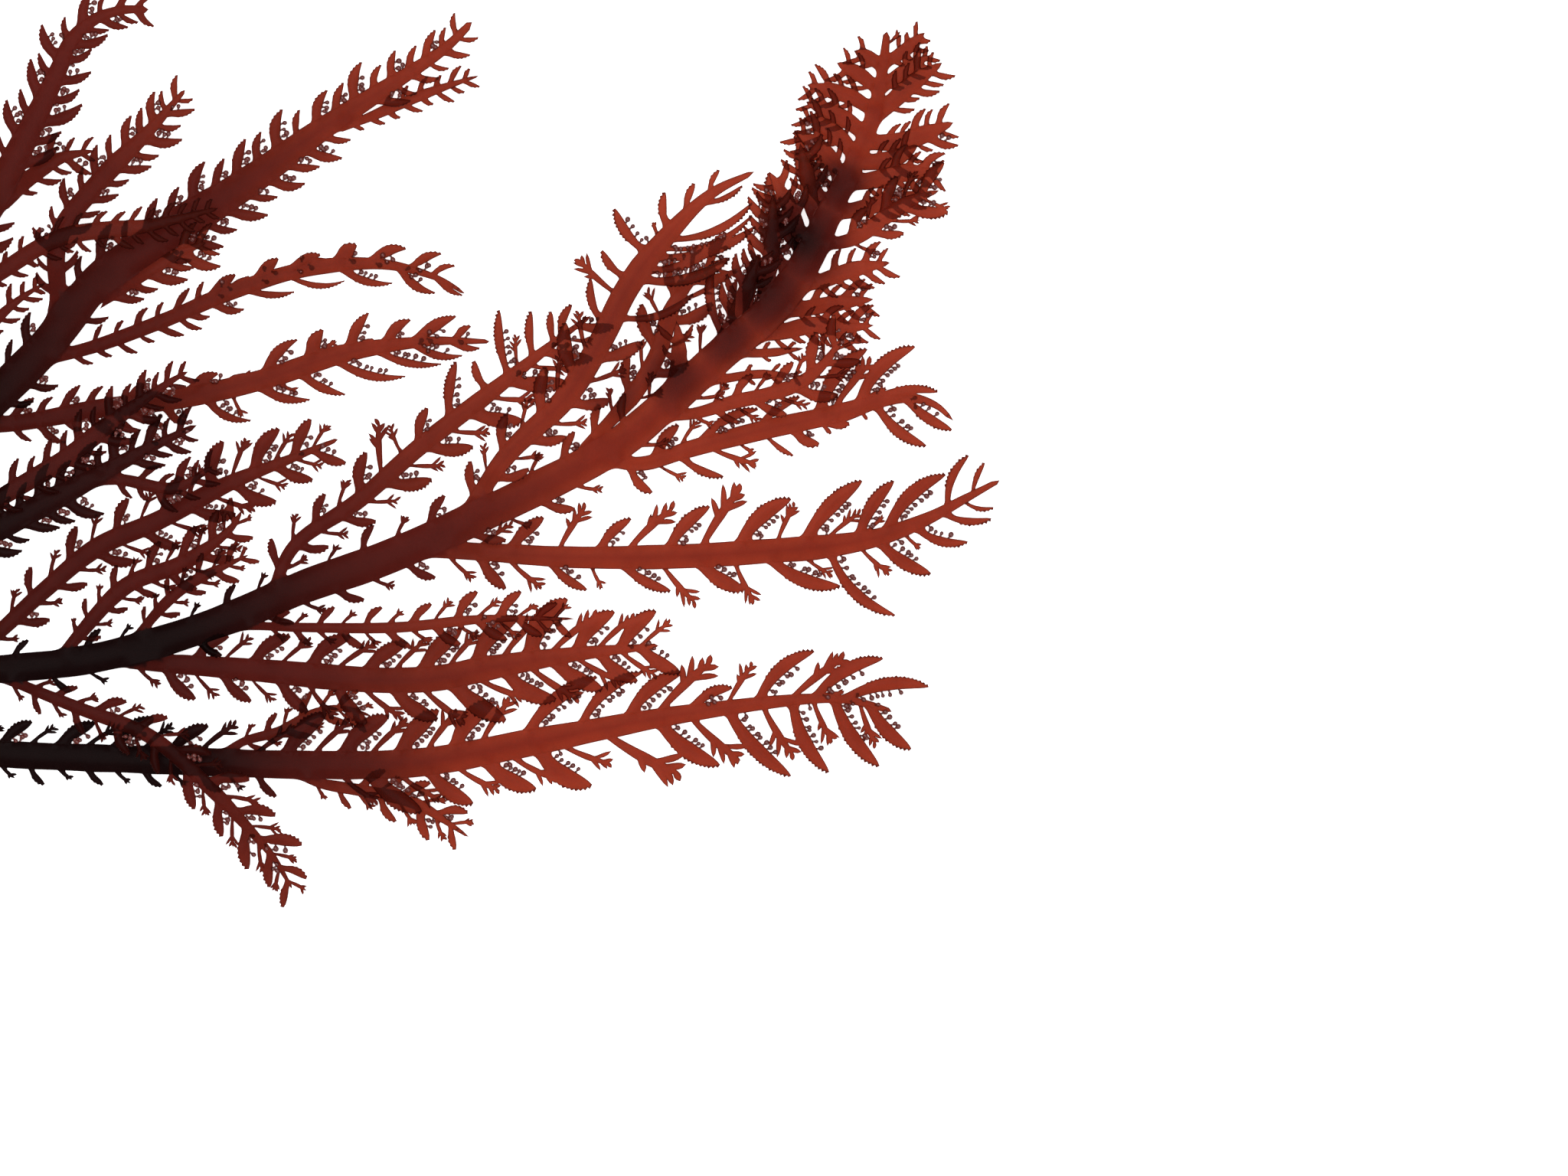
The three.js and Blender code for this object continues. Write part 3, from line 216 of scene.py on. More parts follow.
                (105.4, 14.8, 107.1, 18.8, 0.9), (107.4, 16.1, 108.4, 18.2, 0.6),
                (73.2, 9.3, 76, 7.9, 1), (79.2, 9.3, 82.8, 7.8, 1.1), (85.5, 9.7, 88.8, 7.9, 1.6),
                (91.2, 9.4, 96.6, 8.2, 1.5), (96, 9.9, 101.1, 5.8, 1.2), (100.3, 10.6, 104, 9.2, 1.4),
                (103.2, 12.1, 107, 11.8, 1), (105.3, 13.8, 108.9, 13.7, 0.8),
                (106.7, 15.3, 109.1, 14.6, 0.5)],
            branchlets_at=[
                (73.8, 11.2, 75.9, 14.6), (79.6, 11.6, 83, 14.5), (85.5, 11.9, 88.5, 16.1),
                (91.6, 12, 92.9, 14.8), (96, 11.8, 98.2, 14.1), (99.1, 11.9, 100.2, 13.8),
                (76.4, 9.4, 77.3, 7.9), (82.3, 9.7, 84.8, 6.8), (88.1, 10.1, 89.6, 6.9),
                (94, 9.9, 95.9, 9.1), (98.6, 10.4, 100.6, 9.2), (102.2, 11.6, 103.2, 11.2)]),
        dict(on="central", width=0.95, leaflet=2.7, pitch=2.2, bare=2.4, route=[
            (44.6, 4.3, 2.3), (48.6, 4.9, 3.2), (53, 4.8, 3.4), (60.5, 4.8, 3.4), (68, 5.5, 3.2),
            (75, 5.5, 3)]),
        dict(on="central", width=2.1, leaflet=5.2, pitch=2.7, bare=3.4, route=[
            (36.4, 2.2, 2.1), (40.5, 2, 2.1), (49.3, 1.3, 2.1), (59.3, 0.5, 2.1), (64, 0.7, 2.1),
            (68, 1.5, 2.1), (74.9, 2.6, 2), (81.8, 3.3, 1.9)]),
        dict(on="central", width=1.3, leaflet=3.2, pitch=2.1, bare=3, route=[
            (26.8, 1, 2), (29.3, 0.4, 2.5), (34.9, -1.8, 2.8), (40.5, -4, 3), (45.2, -8, 2.9),
            (48.9, -12, 2.1), (50.5, -14, 1.5), (51.9, -16.5, 0.8)]),
        dict(on="central", width=1.7, leaflet=3.7, pitch=2.5, bare=3, route=[
            (24, 1, 1.8), (28, 4.3, 1.6), (31.8, 7.8, 1.5), (36.1, 11.3, 1.5), (41.1, 13.5, 1.5),
            (46.8, 16.5, 1.5), (51.8, 18.5, 1.4), (55.7, 20.1, 1.3)]),
        dict(on="central", width=1.5, leaflet=2.6, pitch=1.8, bare=1.6, route=[
            (32.8, 1.8, 2.1), (34.9, 4.4, 2.3), (38.6, 8.2, 2.3), (43.3, 10.1, 2.2), (47.1, 12.9, 2.1),
            (47.9, 14.3, 2.1)]),
        dict(on="central", width=1, leaflet=2, pitch=1.7, bare=1.6, route=[
            (38.4, 2.8, 2.2), (41.4, 6.3, 3.2), (43.6, 8.2, 3.4), (48.6, 10.7, 3.4)]),
    ],
    "middle_frond": [
        dict(name="middle", width=2, leaflet=3.1, pitch=2.2, bare=9, root=1, route=[
            (8, 1.1, STEM_MID), (10.2, 2.8, STEM_MID), (17, 6.7, 2.6), (24.3, 10.4, 3.4), (28, 12.6, 3.6),
            (34.3, 16, 3.6), (39.9, 19, 3.5), (44.4, 21.2, 3.3)]),
        dict(on="middle", width=1.5, leaflet=2.6, pitch=1.9, bare=2, route=[
            (22.4, 9.4, 3.2), (26.8, 14, 4.2), (33.9, 18.5, 4.5), (38.3, 21.9, 4.5), (42.7, 24.9, 4.4),
            (43.8, 25.5, 4.4)]),
        dict(on="middle", width=1, leaflet=2.4, pitch=1.9, bare=1.4, route=[
            (35.2, 16.4, 3.6), (38, 16.8, 3.4), (42.7, 16.1, 3.4), (45.7, 17.9, 3.3)]),
    ],
    "upper_frond": [
        dict(name="upper", width=2.9, leaflet=3.1, pitch=2.6, bare=9, root=0.72, route=[
            (4, 0.7, STEM_MID), (6.2, 3, STEM_MID), (11, 7.5, 1.1), (16, 12, 1.1), (21.8, 17.6, 1.1),
            (26.1, 21.9, 1.1), (31.8, 27.6, 1.2), (36.1, 32.9, 1.3), (41.8, 36.9, 1.3), (48, 40.8, 1.3),
            (54.3, 45.3, 1.3), (60, 49, 1.2), (64.3, 51.9, 1.1), (66.6, 54.1, 1)]),
        dict(on="upper", width=1.6, leaflet=2.8, pitch=2, bare=1.6, route=[
            (31.6, 27.4, 1.1), (32.8, 31, 1.9), (33.1, 36.6, 2.1), (36.4, 41.1, 2.1), (40.5, 45.3, 2),
            (43.3, 48.5, 1.9)]),
        dict(on="upper", width=1.4, leaflet=3.4, pitch=2, bare=1.6, route=[
            (33.3, 29.4, 1.1), (36.8, 31.8, 1.9), (42.1, 34.9, 1.9), (45, 36.1, 1.9)]),
        dict(on="upper", width=1.3, leaflet=2.7, pitch=2.1, bare=2, route=[
            (30.6, 26.4, 1.1), (35.5, 27.6, 0.7), (41.4, 29.8, 0.5), (46.8, 32.1, 0.5), (53, 34, 0.5),
            (59.3, 34.4, 0.5), (63.9, 33.2, 0.5), (66, 32, 0.5)],
            leaflets_at=[
                (45.9, 32.2, 47.3, 33.5, 1.1), (49.6, 33.3, 50.8, 34.8, 1.2),
                (52.7, 33.9, 54.2, 35.1, 1.1), (55.9, 34.7, 57.2, 35.9, 1.5),
                (58.7, 34.7, 61.2, 35.6, 1.1), (61.8, 34.2, 64.1, 35.2, 0.9),
                (63.4, 33.5, 65.2, 34.2, 0.6), (43, 29.5, 44.6, 29.2, 0.6), (43.8, 30, 45.2, 30.2, 0.6),
                (45.9, 30.8, 48, 30.8, 0.8), (48.8, 32.1, 52.1, 32.2, 0.7),
                (52.1, 33.1, 56.2, 33.1, 0.6), (56.2, 33.6, 60.1, 32.9, 0.8),
                (60.8, 33.6, 63.6, 32.1, 0.9), (63.9, 33, 65.8, 31.9, 0.6)],
            branchlets_at=[
                (47.7, 32.8, 48.4, 33.3), (54.2, 34, 55.2, 34.6)]),
        dict(on="upper", width=1.7, leaflet=3.8, pitch=2.4, bare=2, route=[
            (25.3, 21.1, 1.1), (29.9, 21.5, 0.9), (36.1, 22.6, 0.8), (43.6, 23.6, 0.8), (49.9, 25.1, 0.8),
            (56.1, 27.1, 0.8), (63, 28.1, 0.7), (68, 28.1, 0.7)],
            leaflets_at=[
                (38.9, 23.2, 40.4, 24.6, 0.8), (44.2, 23.6, 45.9, 25.4, 1.1),
                (50.2, 25.1, 52.4, 28.2, 1.1), (53.7, 26.4, 54.5, 29, 1.4),
                (56.8, 27.5, 58.2, 30.4, 1.1), (59.7, 28.1, 61.6, 29.8, 1.1),
                (62.4, 28.4, 65.3, 30.1, 1.2), (65.3, 28.6, 66.5, 29.3, 0.8),
                (45.4, 22.1, 48.6, 21.7, 0.8), (49.8, 23.5, 53.4, 23.4, 0.9),
                (53.1, 24.6, 56.3, 23.8, 0.9), (56, 26, 61.2, 25.3, 0.9), (59.3, 27, 64.1, 26.3, 0.8),
                (62.2, 27.8, 65.8, 27, 0.8), (65.3, 28.1, 67.2, 27.6, 0.7)],
            branchlets_at=[
                (47.7, 24.3, 48.8, 25.4), (54.6, 26.6, 55.6, 28.1), (58.1, 27.5, 58.6, 28.2),
                (47.3, 22.9, 48, 21.9), (51.2, 23.9, 52.4, 24)]),
        dict(on="upper", width=0.9, leaflet=1.6, pitch=1.7, bare=1.4, route=[
            (53, 44.4, 1.2), (57.4, 46.1, 0.6), (63, 48.4, 0.38), (67.1, 49.8, 0.33)]),
        dict(on="upper", width=0.9, leaflet=1.7, pitch=1.7, bare=1.4, route=[
            (24.9, 20.7, 1.1), (25.5, 24.8, 1.7), (27.4, 29.1, 1.9), (29.6, 31.3, 1.9), (31.9, 32.8, 1.9)]),
    ],
    "crest_frond": [
        dict(name="crest", width=2.7, leaflet=3.2, pitch=2.5, bare=9, root=0.76, route=[
            (-2.6, 0.5, STEM_MID), (-0.8, 3, STEM_MID), (3, 7.6, 1.8), (8.5, 13.8, 2.8), (14, 20.4, 3.4),
            (20, 28.3, 3.6), (24.3, 34.2, 3.8), (28, 39.6, 4), (31, 45.2, 4.1), (33.3, 50, 4.1),
            (34.3, 52.3, 4), (36.1, 54, 3.9), (38.3, 54.8, 3.7), (40.5, 54.9, 3.4)]),
        dict(on="crest", width=1.3, leaflet=2.2, pitch=1.9, bare=1.4, route=[
            (25.6, 36.1, 3.9), (28, 38.4, 3.3), (32.7, 42.6, 3.1), (36.1, 43.5, 3.1)]),
        dict(on="crest", width=1.4, leaflet=1.8, pitch=1.8, bare=2.4, route=[
            (21.5, 30.3, 3.7), (24.9, 31.3, 3.3), (28, 33.3, 3.2), (33.3, 36.4, 3.2), (40.5, 37.4, 3.1),
            (46.1, 38.8, 3)]),
    ],
}

# Growth of an axis: its width at the root and the tip, and the stretch where it is full, as shares
ROOT_WIDTH_SHARE = 0.62
DENSE_ROOT_SHARE = 0.75
WIDEST_FROM = 0.4
TAPER_FROM = 0.68
FULL_MAIN = 0.8
TAPER_TO = 0.2
# Side axes with leaflets shorter than LARGE_LEAFLET are slimmer
LARGE_LEAFLET = 4.3
SLIM_SHARE = 0.92
# Slow swell of an axis along its length
SWELL_DEPTH = 0.05
SWELL_RATE = 0.35

# Nodes of an axis: leaflets grow from YOUNG_SIZE up to the GROWN_FROM share of it and shrink over the last
# TIP_SHARE. The pitch shrinks to CROWDED_PITCH from CROWDED_FROM on. Nodes keep clear of joints and of the
# bearer by lengths, and of measured leaflets and the tip by shares of the pitch.
GROWN_FROM = 0.7
YOUNG_SIZE = 0.5
TIP_SHARE = 0.17
TIP_SIZE = 0.6
CROWDED_FROM = 0.6
CROWDED_PITCH = 0.66
PITCH_SHARE = 0.86
LAST_NODE_SHARE = 0.25
MEASURED_CLEARANCE = 0.7
JOINT_CLEARANCE = 0.5
ROOT_CLEARANCE = 0.3
WORN_SHARE = 0.5
# Chance: size and lean of a leaflet. A pair named DRAW holds the least share and the spread above it.
SIZE_SPREAD = 0.22
LEAN_SPREAD = 0.26
# Dense axes bear short broad leaflets on both sides of every node, and no forked branchlets
DENSE_FRONDS = ("middle_frond", "upper_frond", "crest_frond")
DENSE_SHARE = 0.72
DENSE_BREADTH = 0.38
DENSE_LEAST_BREADTH = 0.5
DENSE_TOOTH = 0.5

# Leaflets: forward and outward reach, breadth and bend of the centre line as shares of the length.
# The halves are NARROW_FOOT wide at the foot and full from BROAD_FROM on, and close by a power of the way
# along, a lower one where the leaflet is pointed.
LEAFLET_REACH = (0.80, 0.62)
LEAFLET_BREADTH = 0.34
LEAST_BREADTH = 0.36
LEAFLET_BEND = 0.2
BEND_DRAW = (0.6, 0.8)
MEASURED_BREADTH = 0.8
NARROW_FOOT = 0.58
BROAD_FROM = 0.5
TIP_POWER = 5
POINTED_POWER = 2.3
TIP_ROUNDING = 0.85
# Foot of a leaflet in its axis: least slant to the margin, extra depth, deepest share of the half width
LEAST_SLANT = 0.3
FOOT_DEPTH = 0.12
DEEPEST_FOOT = 1.4
# Teeth of the outer margin: height, where they start, forward lean, and the reach with full teeth
TOOTH_HEIGHT = 0.13
TOOTHED_FROM = 0.25
TOOTH_FORWARD = 0.6
TOOTH_DRAW = (0.4, 0.8)
FULL_TOOTH_REACH = 3.5

# Forked branchlets: size beside a leaflet's, bend and breadth of the stalk, and pairs of the size above
# which they have a number of fingers
BRANCHLET_SHARE = 0.82
BRANCHLET_BEND = 0.06
BRANCHLET_BREADTH = 0.15
BRANCHLET_LEAST_BREADTH = 0.34
FINGERS_ABOVE = ((2.6, 5), (1.6, 4), (0, 2))
MEASURED_FINGERS_ABOVE = ((2, 6), (0, 3))
# Fingers of a branchlet: start along its stalk, angle to it and length
FINGER_SHARES = (0.46, 0.60, 0.70, 0.80, 0.88, 0.38)
FINGER_ANGLES = (0.55, -0.62, 0.52, -0.55, 0.48, 0.75)
FINGER_LENGTHS = (0.48, 0.40, 0.32, 0.25, 0.19, 0.34)
FINGER_START_SPREAD = 0.06
FINGER_ANGLE_DRAW = (0.8, 0.4)
FINGER_LENGTH_DRAW = (0.85, 0.3)
FINGER_BEND = 0.1
FINGER_BREADTH = 0.1
FINGER_LEAST_BREADTH = 0.24

# Pillow section of a blade: depth of its rim, half thickness at the margin and of a leaflet, and what a
# broad axis adds, with the widths over which they round off
RIM = 0.14
EDGE_HALF = 0.045
LEAF_HALF = 0.22
LEAF_ROUNDING = 0.4
AXIS_EXTRA = 0.24
AXIS_ROUNDING = 0.9
# Height of a blade: rise and ripple outside its axis, and the stretch over which a side axis goes from
# its bearer's height to its own
LIFT = 0.05
RIPPLE_DEPTH = 0.09
RIPPLE_REACH = 3
RIPPLE_RATE = 0.3
SETTLING = 3
FLOOR_CLEARANCE = 0.03

# Stalked beads on the inner margins of leaflets broader than BEADED_FROM, and on the axis ahead of them.
# A row has at most MOST_BEADS. It starts at FIRST_BEAD and goes on over BEAD_ROW, as shares of the margin.
BEADED_FROM = 0.74
BEAD_RADIUS = 0.22
BEAD_STALK = 0.13
BEAD_SPACING = 0.52
BEAD_SIDES = 7
BEAD_RINGS = 4
MOST_BEADS = 9
BEADED_SHARE = 0.62
FIRST_BEAD = 0.04
BEAD_ROW = 0.7
BEAD_JITTER = 0.6
BEAD_LEAN_DRAW = (0.1, 0.5)
BEAD_RISE_SPREAD = 0.3
BEAD_LENGTH_DRAW = (0.6, 0.8)
BEAD_SIZE_DRAW = (0.75, 0.4)
AXIS_BEAD_STEPS = (0.4, 0.8, 1.2, 1.6)
AXIS_BEAD_REACH = 1.2
AXIS_BEAD_ROOM = 2.4
# Stalk of a bead: places along it as shares of its length with half widths there, its end in the margin,
# and the lowest height of a foot
STALK_PROFILE = ((-0.2, 0.12), (0.5, 0.085), (0.95, 0.085))
STALK_END = 0.1
LOWEST_BEAD = 0.2

# Rounded notch between a leaflet and its axis: its length, a branchlet's share of it, how deep its ends
# lie in the axis, and the places of its points
NOTCH = 0.4
BRANCHLET_NOTCH = 0.5
FOOT_SUNK = 0.08
FILLET_STEPS = (0.25, 0.5, 0.75)

# Joint of a side axis: its points, which both blades share, the least slant to the bearer that counts, its
# reach behind and ahead along the bearer's margin, and what it keeps to the bearer's ends and other joints
JOINT_POINTS = 5
LEAST_TURN = 0.4
JOINT_BEHIND = 0.9
BEHIND_MORE = 0.2
JOINT_START = 0.2
JOINT_GAP = 0.05
JOINT_LEAST = 0.4
JOINT_AHEAD = 0.25
JOINT_END = 0.15

# Plan detail: steps along a centre line, a margin, a leaflet and a branchlet, and the half widths from
# which rows of points lie inside an axis, or inside a leaflet, there in rim depths
SAMPLE = 0.1
FEWEST_SAMPLES = 8
ROUTE_STEPS = 24
AXIS_STEP = 0.45
LEAFLET_STEP = 0.32
BRANCHLET_STEP = 0.36
FEWEST_STEPS = 4
JOINT_STANDOFF = 0.1
INNER_ROW_FROM = 0.7
RIM_ROW_FROM = 0.3
LEAF_ROWS_FROM = 1.9
# Length of the pointed back end of a main axis
BACK_LENGTH = 0.2
# Search for the place where a margin comes clear of the bearer: the gap that it needs there, the step,
# and the stretch as shares of the way to the exit and of the length
FREE_GAP = 0.22
FREE_STEP = 0.15
FREE_FROM = 0.5
FREE_TO = 0.8
# Triangulation: its kind, which leaves out what lies outside the outlines, and its tolerance
INSIDE_ONLY = 1
OUTLINE_TOLERANCE = 1e-4
# Margin points looked at for a distance, the least square of a length, and digits to which a plan point
# or a corner is the same one
NEAR_POINTS = 2
TINY = 1e-12
SAME_POINT_DIGITS = 3
SAME_CORNER_DIGITS = 4

# Age and painted shade: where each frond goes from old to young across the table, the old end darker partly
# with age and partly as painted shade of thick tissue, and the value at its tips
OLD_AND_SHADED_SPANS = {"lower_frond": (38, 74), "central_frond": (36, 88), "middle_frond": (16, 72),
             "upper_frond": (16, 66), "crest_frond": (2, 48)}
TIP_AGE_AND_SHADE = {"lower_frond": 0, "central_frond": 0.04, "middle_frond": 0.45,
            "upper_frond": 0.14, "crest_frond": 0.34}
# Share of that age and painted shade in a side axis, at its root and at its tip
SIDE_AGE_AND_SHADE = (0.75, 0.4)
# Painted shade patches of the central frond, where overlapping layers look darker: place, reach and value
# of age and shade in their middle
OVERLAP_SHADE_PATCHES = (
    (78, 30, 17, 0.24), (83, 25.2, 4.8, 0.5), (87, 28.7, 4.8, 0.58), (90.4, 32.2, 5.4, 0.75),
    (93.6, 36.4, 5.8, 0.88), (96.4, 40.6, 4.2, 0.66), (78, 24, 4.6, 0.4))

# Old stem: rings and sides, how fast its ends round off, shares of its width and height there, a power
# that makes its section squarer, and its knots and grooves
STEM_RINGS = 90
STEM_SIDES = 40
STEM_END_RATE = 9
STEM_BELLY = 0.72
STEM_END_WIDTH = 0.8
STEM_END_HEIGHT = 0.7
STEM_SQUARENESS = 0.75
KNOT_DEPTH = 0.07
KNOT_RATES = (0.8, 1.2)
GROOVES = 11
GROOVE_DEPTH = 0.025
GROOVE_WANDER = 1.5
GROOVE_RATE = 0.5

# Mottle of living tissue: the group's own values, and those of the beads and the bark
MOTTLE_COLOUR = (0.3, 0.05, 0.02, 1)
CLOUD_SCALE = 700.0
CLOUD_DETAIL = 5
CELL_SCALE = 9000.0
CELL_DETAIL = 2
MOTTLE_DEPTH = 0.3
BEAD_MOTTLE = {"Depth": 0.6}
BARK_MOTTLE = {"Cloud Scale": 420, "Cell Scale": 2600, "Depth": 0.9}
# The sockets that a mix node has for colours
MIX_COLOURS = (6, 7)
MIX_RESULT = 2
# Finishes: the values that are the same all over a material, and its bumps, whose distances are in metres
TISSUE_FINISH = {"Roughness": 0.4, "IOR": 1.045, "Transmission Weight": 0.8,
                 "Coat Weight": 0.02, "Coat Roughness": 0.3}
TISSUE_BUMP = {"Strength": 0.25, "Distance": 0.00004}
BEAD_FINISH = {"Roughness": 0.35}
BARK_FINISH = {"Roughness": 0.6, "IOR": 1.3}
BARK_BUMP = {"Strength": 0.6, "Distance": 0.00015}
TABLE_FINISH = {"Roughness": 0.9, "Emission Color": (1, 1, 1, 1), "Emission Strength": 0.75}
# Distances from the margin over which a blade takes its axis colour, depth of the painted edge shade (a
# dark rim standing in for the shade that refraction gives thin edges) in rim depths and its strength, and
# values of age and painted shade over which the blade darkens
BROAD_SPAN = (0.35, 1.2)
EDGE_SHADE_DEPTH = 0.9
EDGE_SHADE_STRENGTH = 0.85
DEEP_AGE_AND_SHADE = (0.0, 0.55)
OLD_AGE_AND_SHADE = (0.5, 1.0)

# Camera's field and lens in millimetres; table and lights in metres, lights in watts
VIEW_CENTRE = (92, 8)
VIEW_WIDTH = 128
LENS = 135
SENSOR = 36
TABLE_SIZE = 3
TABLE_PLACE = (0.05, 0.015, -0.0002)
OVERHEAD_LIGHT = dict(place=(0.0, 0.1, 0.7), size=0.6, power=5)
SIDE_LIGHT = dict(place=(0.6, -0.5, 0.5), size=0.5, power=3)
WORLD_GLOW = {"Color": (1, 1, 1, 1), "Strength": 0.35}

SEED = 23


class SpraySizes(bpy.types.PropertyGroup):
    """Sizes that shape the blades"""

    tooth_height: bpy.props.FloatProperty(
        name="Tooth height", description="Height of the teeth on the outer margins",
        default=TOOTH_HEIGHT * MM, unit="LENGTH", precision=5)
    bead_radius: bpy.props.FloatProperty(
        name="Bead radius", description="Radius of the beads, before their draw of size",
        default=BEAD_RADIUS * MM, unit="LENGTH", precision=5)
    seed: bpy.props.IntProperty(
        name="Seed", description="Seed of the natural variation", default=SEED, min=0)


class SprayColours(bpy.types.PropertyGroup):
    """Colours of the living and the old parts, of the painted shade on margins, old parts and dark patches,
    and of the table
    """

    leaflet: bpy.props.FloatVectorProperty(
        name="Leaflet", description="Colour of the leaflets", default=(0.268, 0.035, 0.016),
        subtype="COLOR", size=3, min=0, max=1)
    axis: bpy.props.FloatVectorProperty(
        name="Axis", description="Colour of the broad axes", default=(0.220, 0.024, 0.011),
        subtype="COLOR", size=3, min=0, max=1)
    # The margin colour is painted shade: it darkens the rims of the blades as refraction would darken thin
    # edges; the bead stalks take it as their own colour
    margin: bpy.props.FloatVectorProperty(
        name="Margin", description="Colour of the dark margins", default=(0.070, 0.010, 0.007),
        subtype="COLOR", size=3, min=0, max=1)
    # The grown and old colours are partly painted shade: they also colour the thick tissue near the stem
    # and the overlap shade patches
    deep: bpy.props.FloatVectorProperty(
        name="Grown parts", description="Colour of the grown, deep red parts",
        default=(0.085, 0.010, 0.007), subtype="COLOR", size=3, min=0, max=1)
    old: bpy.props.FloatVectorProperty(
        name="Old parts", description="Colour of the old parts near the stem",
        default=(0.008, 0.0025, 0.0025), subtype="COLOR", size=3, min=0, max=1)
    stem: bpy.props.FloatVectorProperty(
        name="Stem", description="Colour of the old stem's bark", default=(0.035, 0.010, 0.007),
        subtype="COLOR", size=3, min=0, max=1)
    bead: bpy.props.FloatVectorProperty(
        name="Beads", description="Colour of the stalked beads", default=(0.095, 0.013, 0.009),
        subtype="COLOR", size=3, min=0, max=1)
    table: bpy.props.FloatVectorProperty(
        name="Table", description="Colour of the table", default=(0.9, 0.9, 0.9),
        subtype="COLOR", size=3, min=0, max=1)


def smoothstep(low, high, value):
    share = min(1.0, max(0.0, (value - low) / (high - low)))
    return share * share * (3 - 2 * share)


def lerp(a, b, share):
    return a + (b - a) * share


def drawn(rng, least, spread):
    """A share drawn between the least one and the least one plus the spread."""
    return least + spread * rng.random()


def turned(vector, angle):
    """A plan vector turned to the left by an angle in radians."""
    c, s = math.cos(angle), math.sin(angle)
    return Vector((vector.x * c - vector.y * s, vector.x * s + vector.y * c))


def smooth_route(route):
    """Points along the centripetal curve through the points of a route."""
    points = [np.array(p, float) for p in route]
    points = [2 * points[0] - points[1], *points, 2 * points[-1] - points[-2]]
    samples = []
    for a, b, c, d in zip(points, points[1:], points[2:], points[3:]):
        da, db, dc = (math.sqrt(np.linalg.norm(q - p)) for p, q in ((a, b), (b, c), (c, d)))
        start = ((b - a) / da - (c - a) / (da + db) + (c - b) / db) * db
        end = ((c - b) / db - (d - b) / (db + dc) + (d - c) / dc) * db
        for t in np.arange(ROUTE_STEPS) / ROUTE_STEPS:
            samples.append((2 * t**3 - 3 * t**2 + 1) * b + (t**3 - 2 * t**2 + t) * start
                           + (3 * t**2 - 2 * t**3) * c + (t**3 - t**2) * end)
    samples.append(points[-2])
    return np.array(samples)


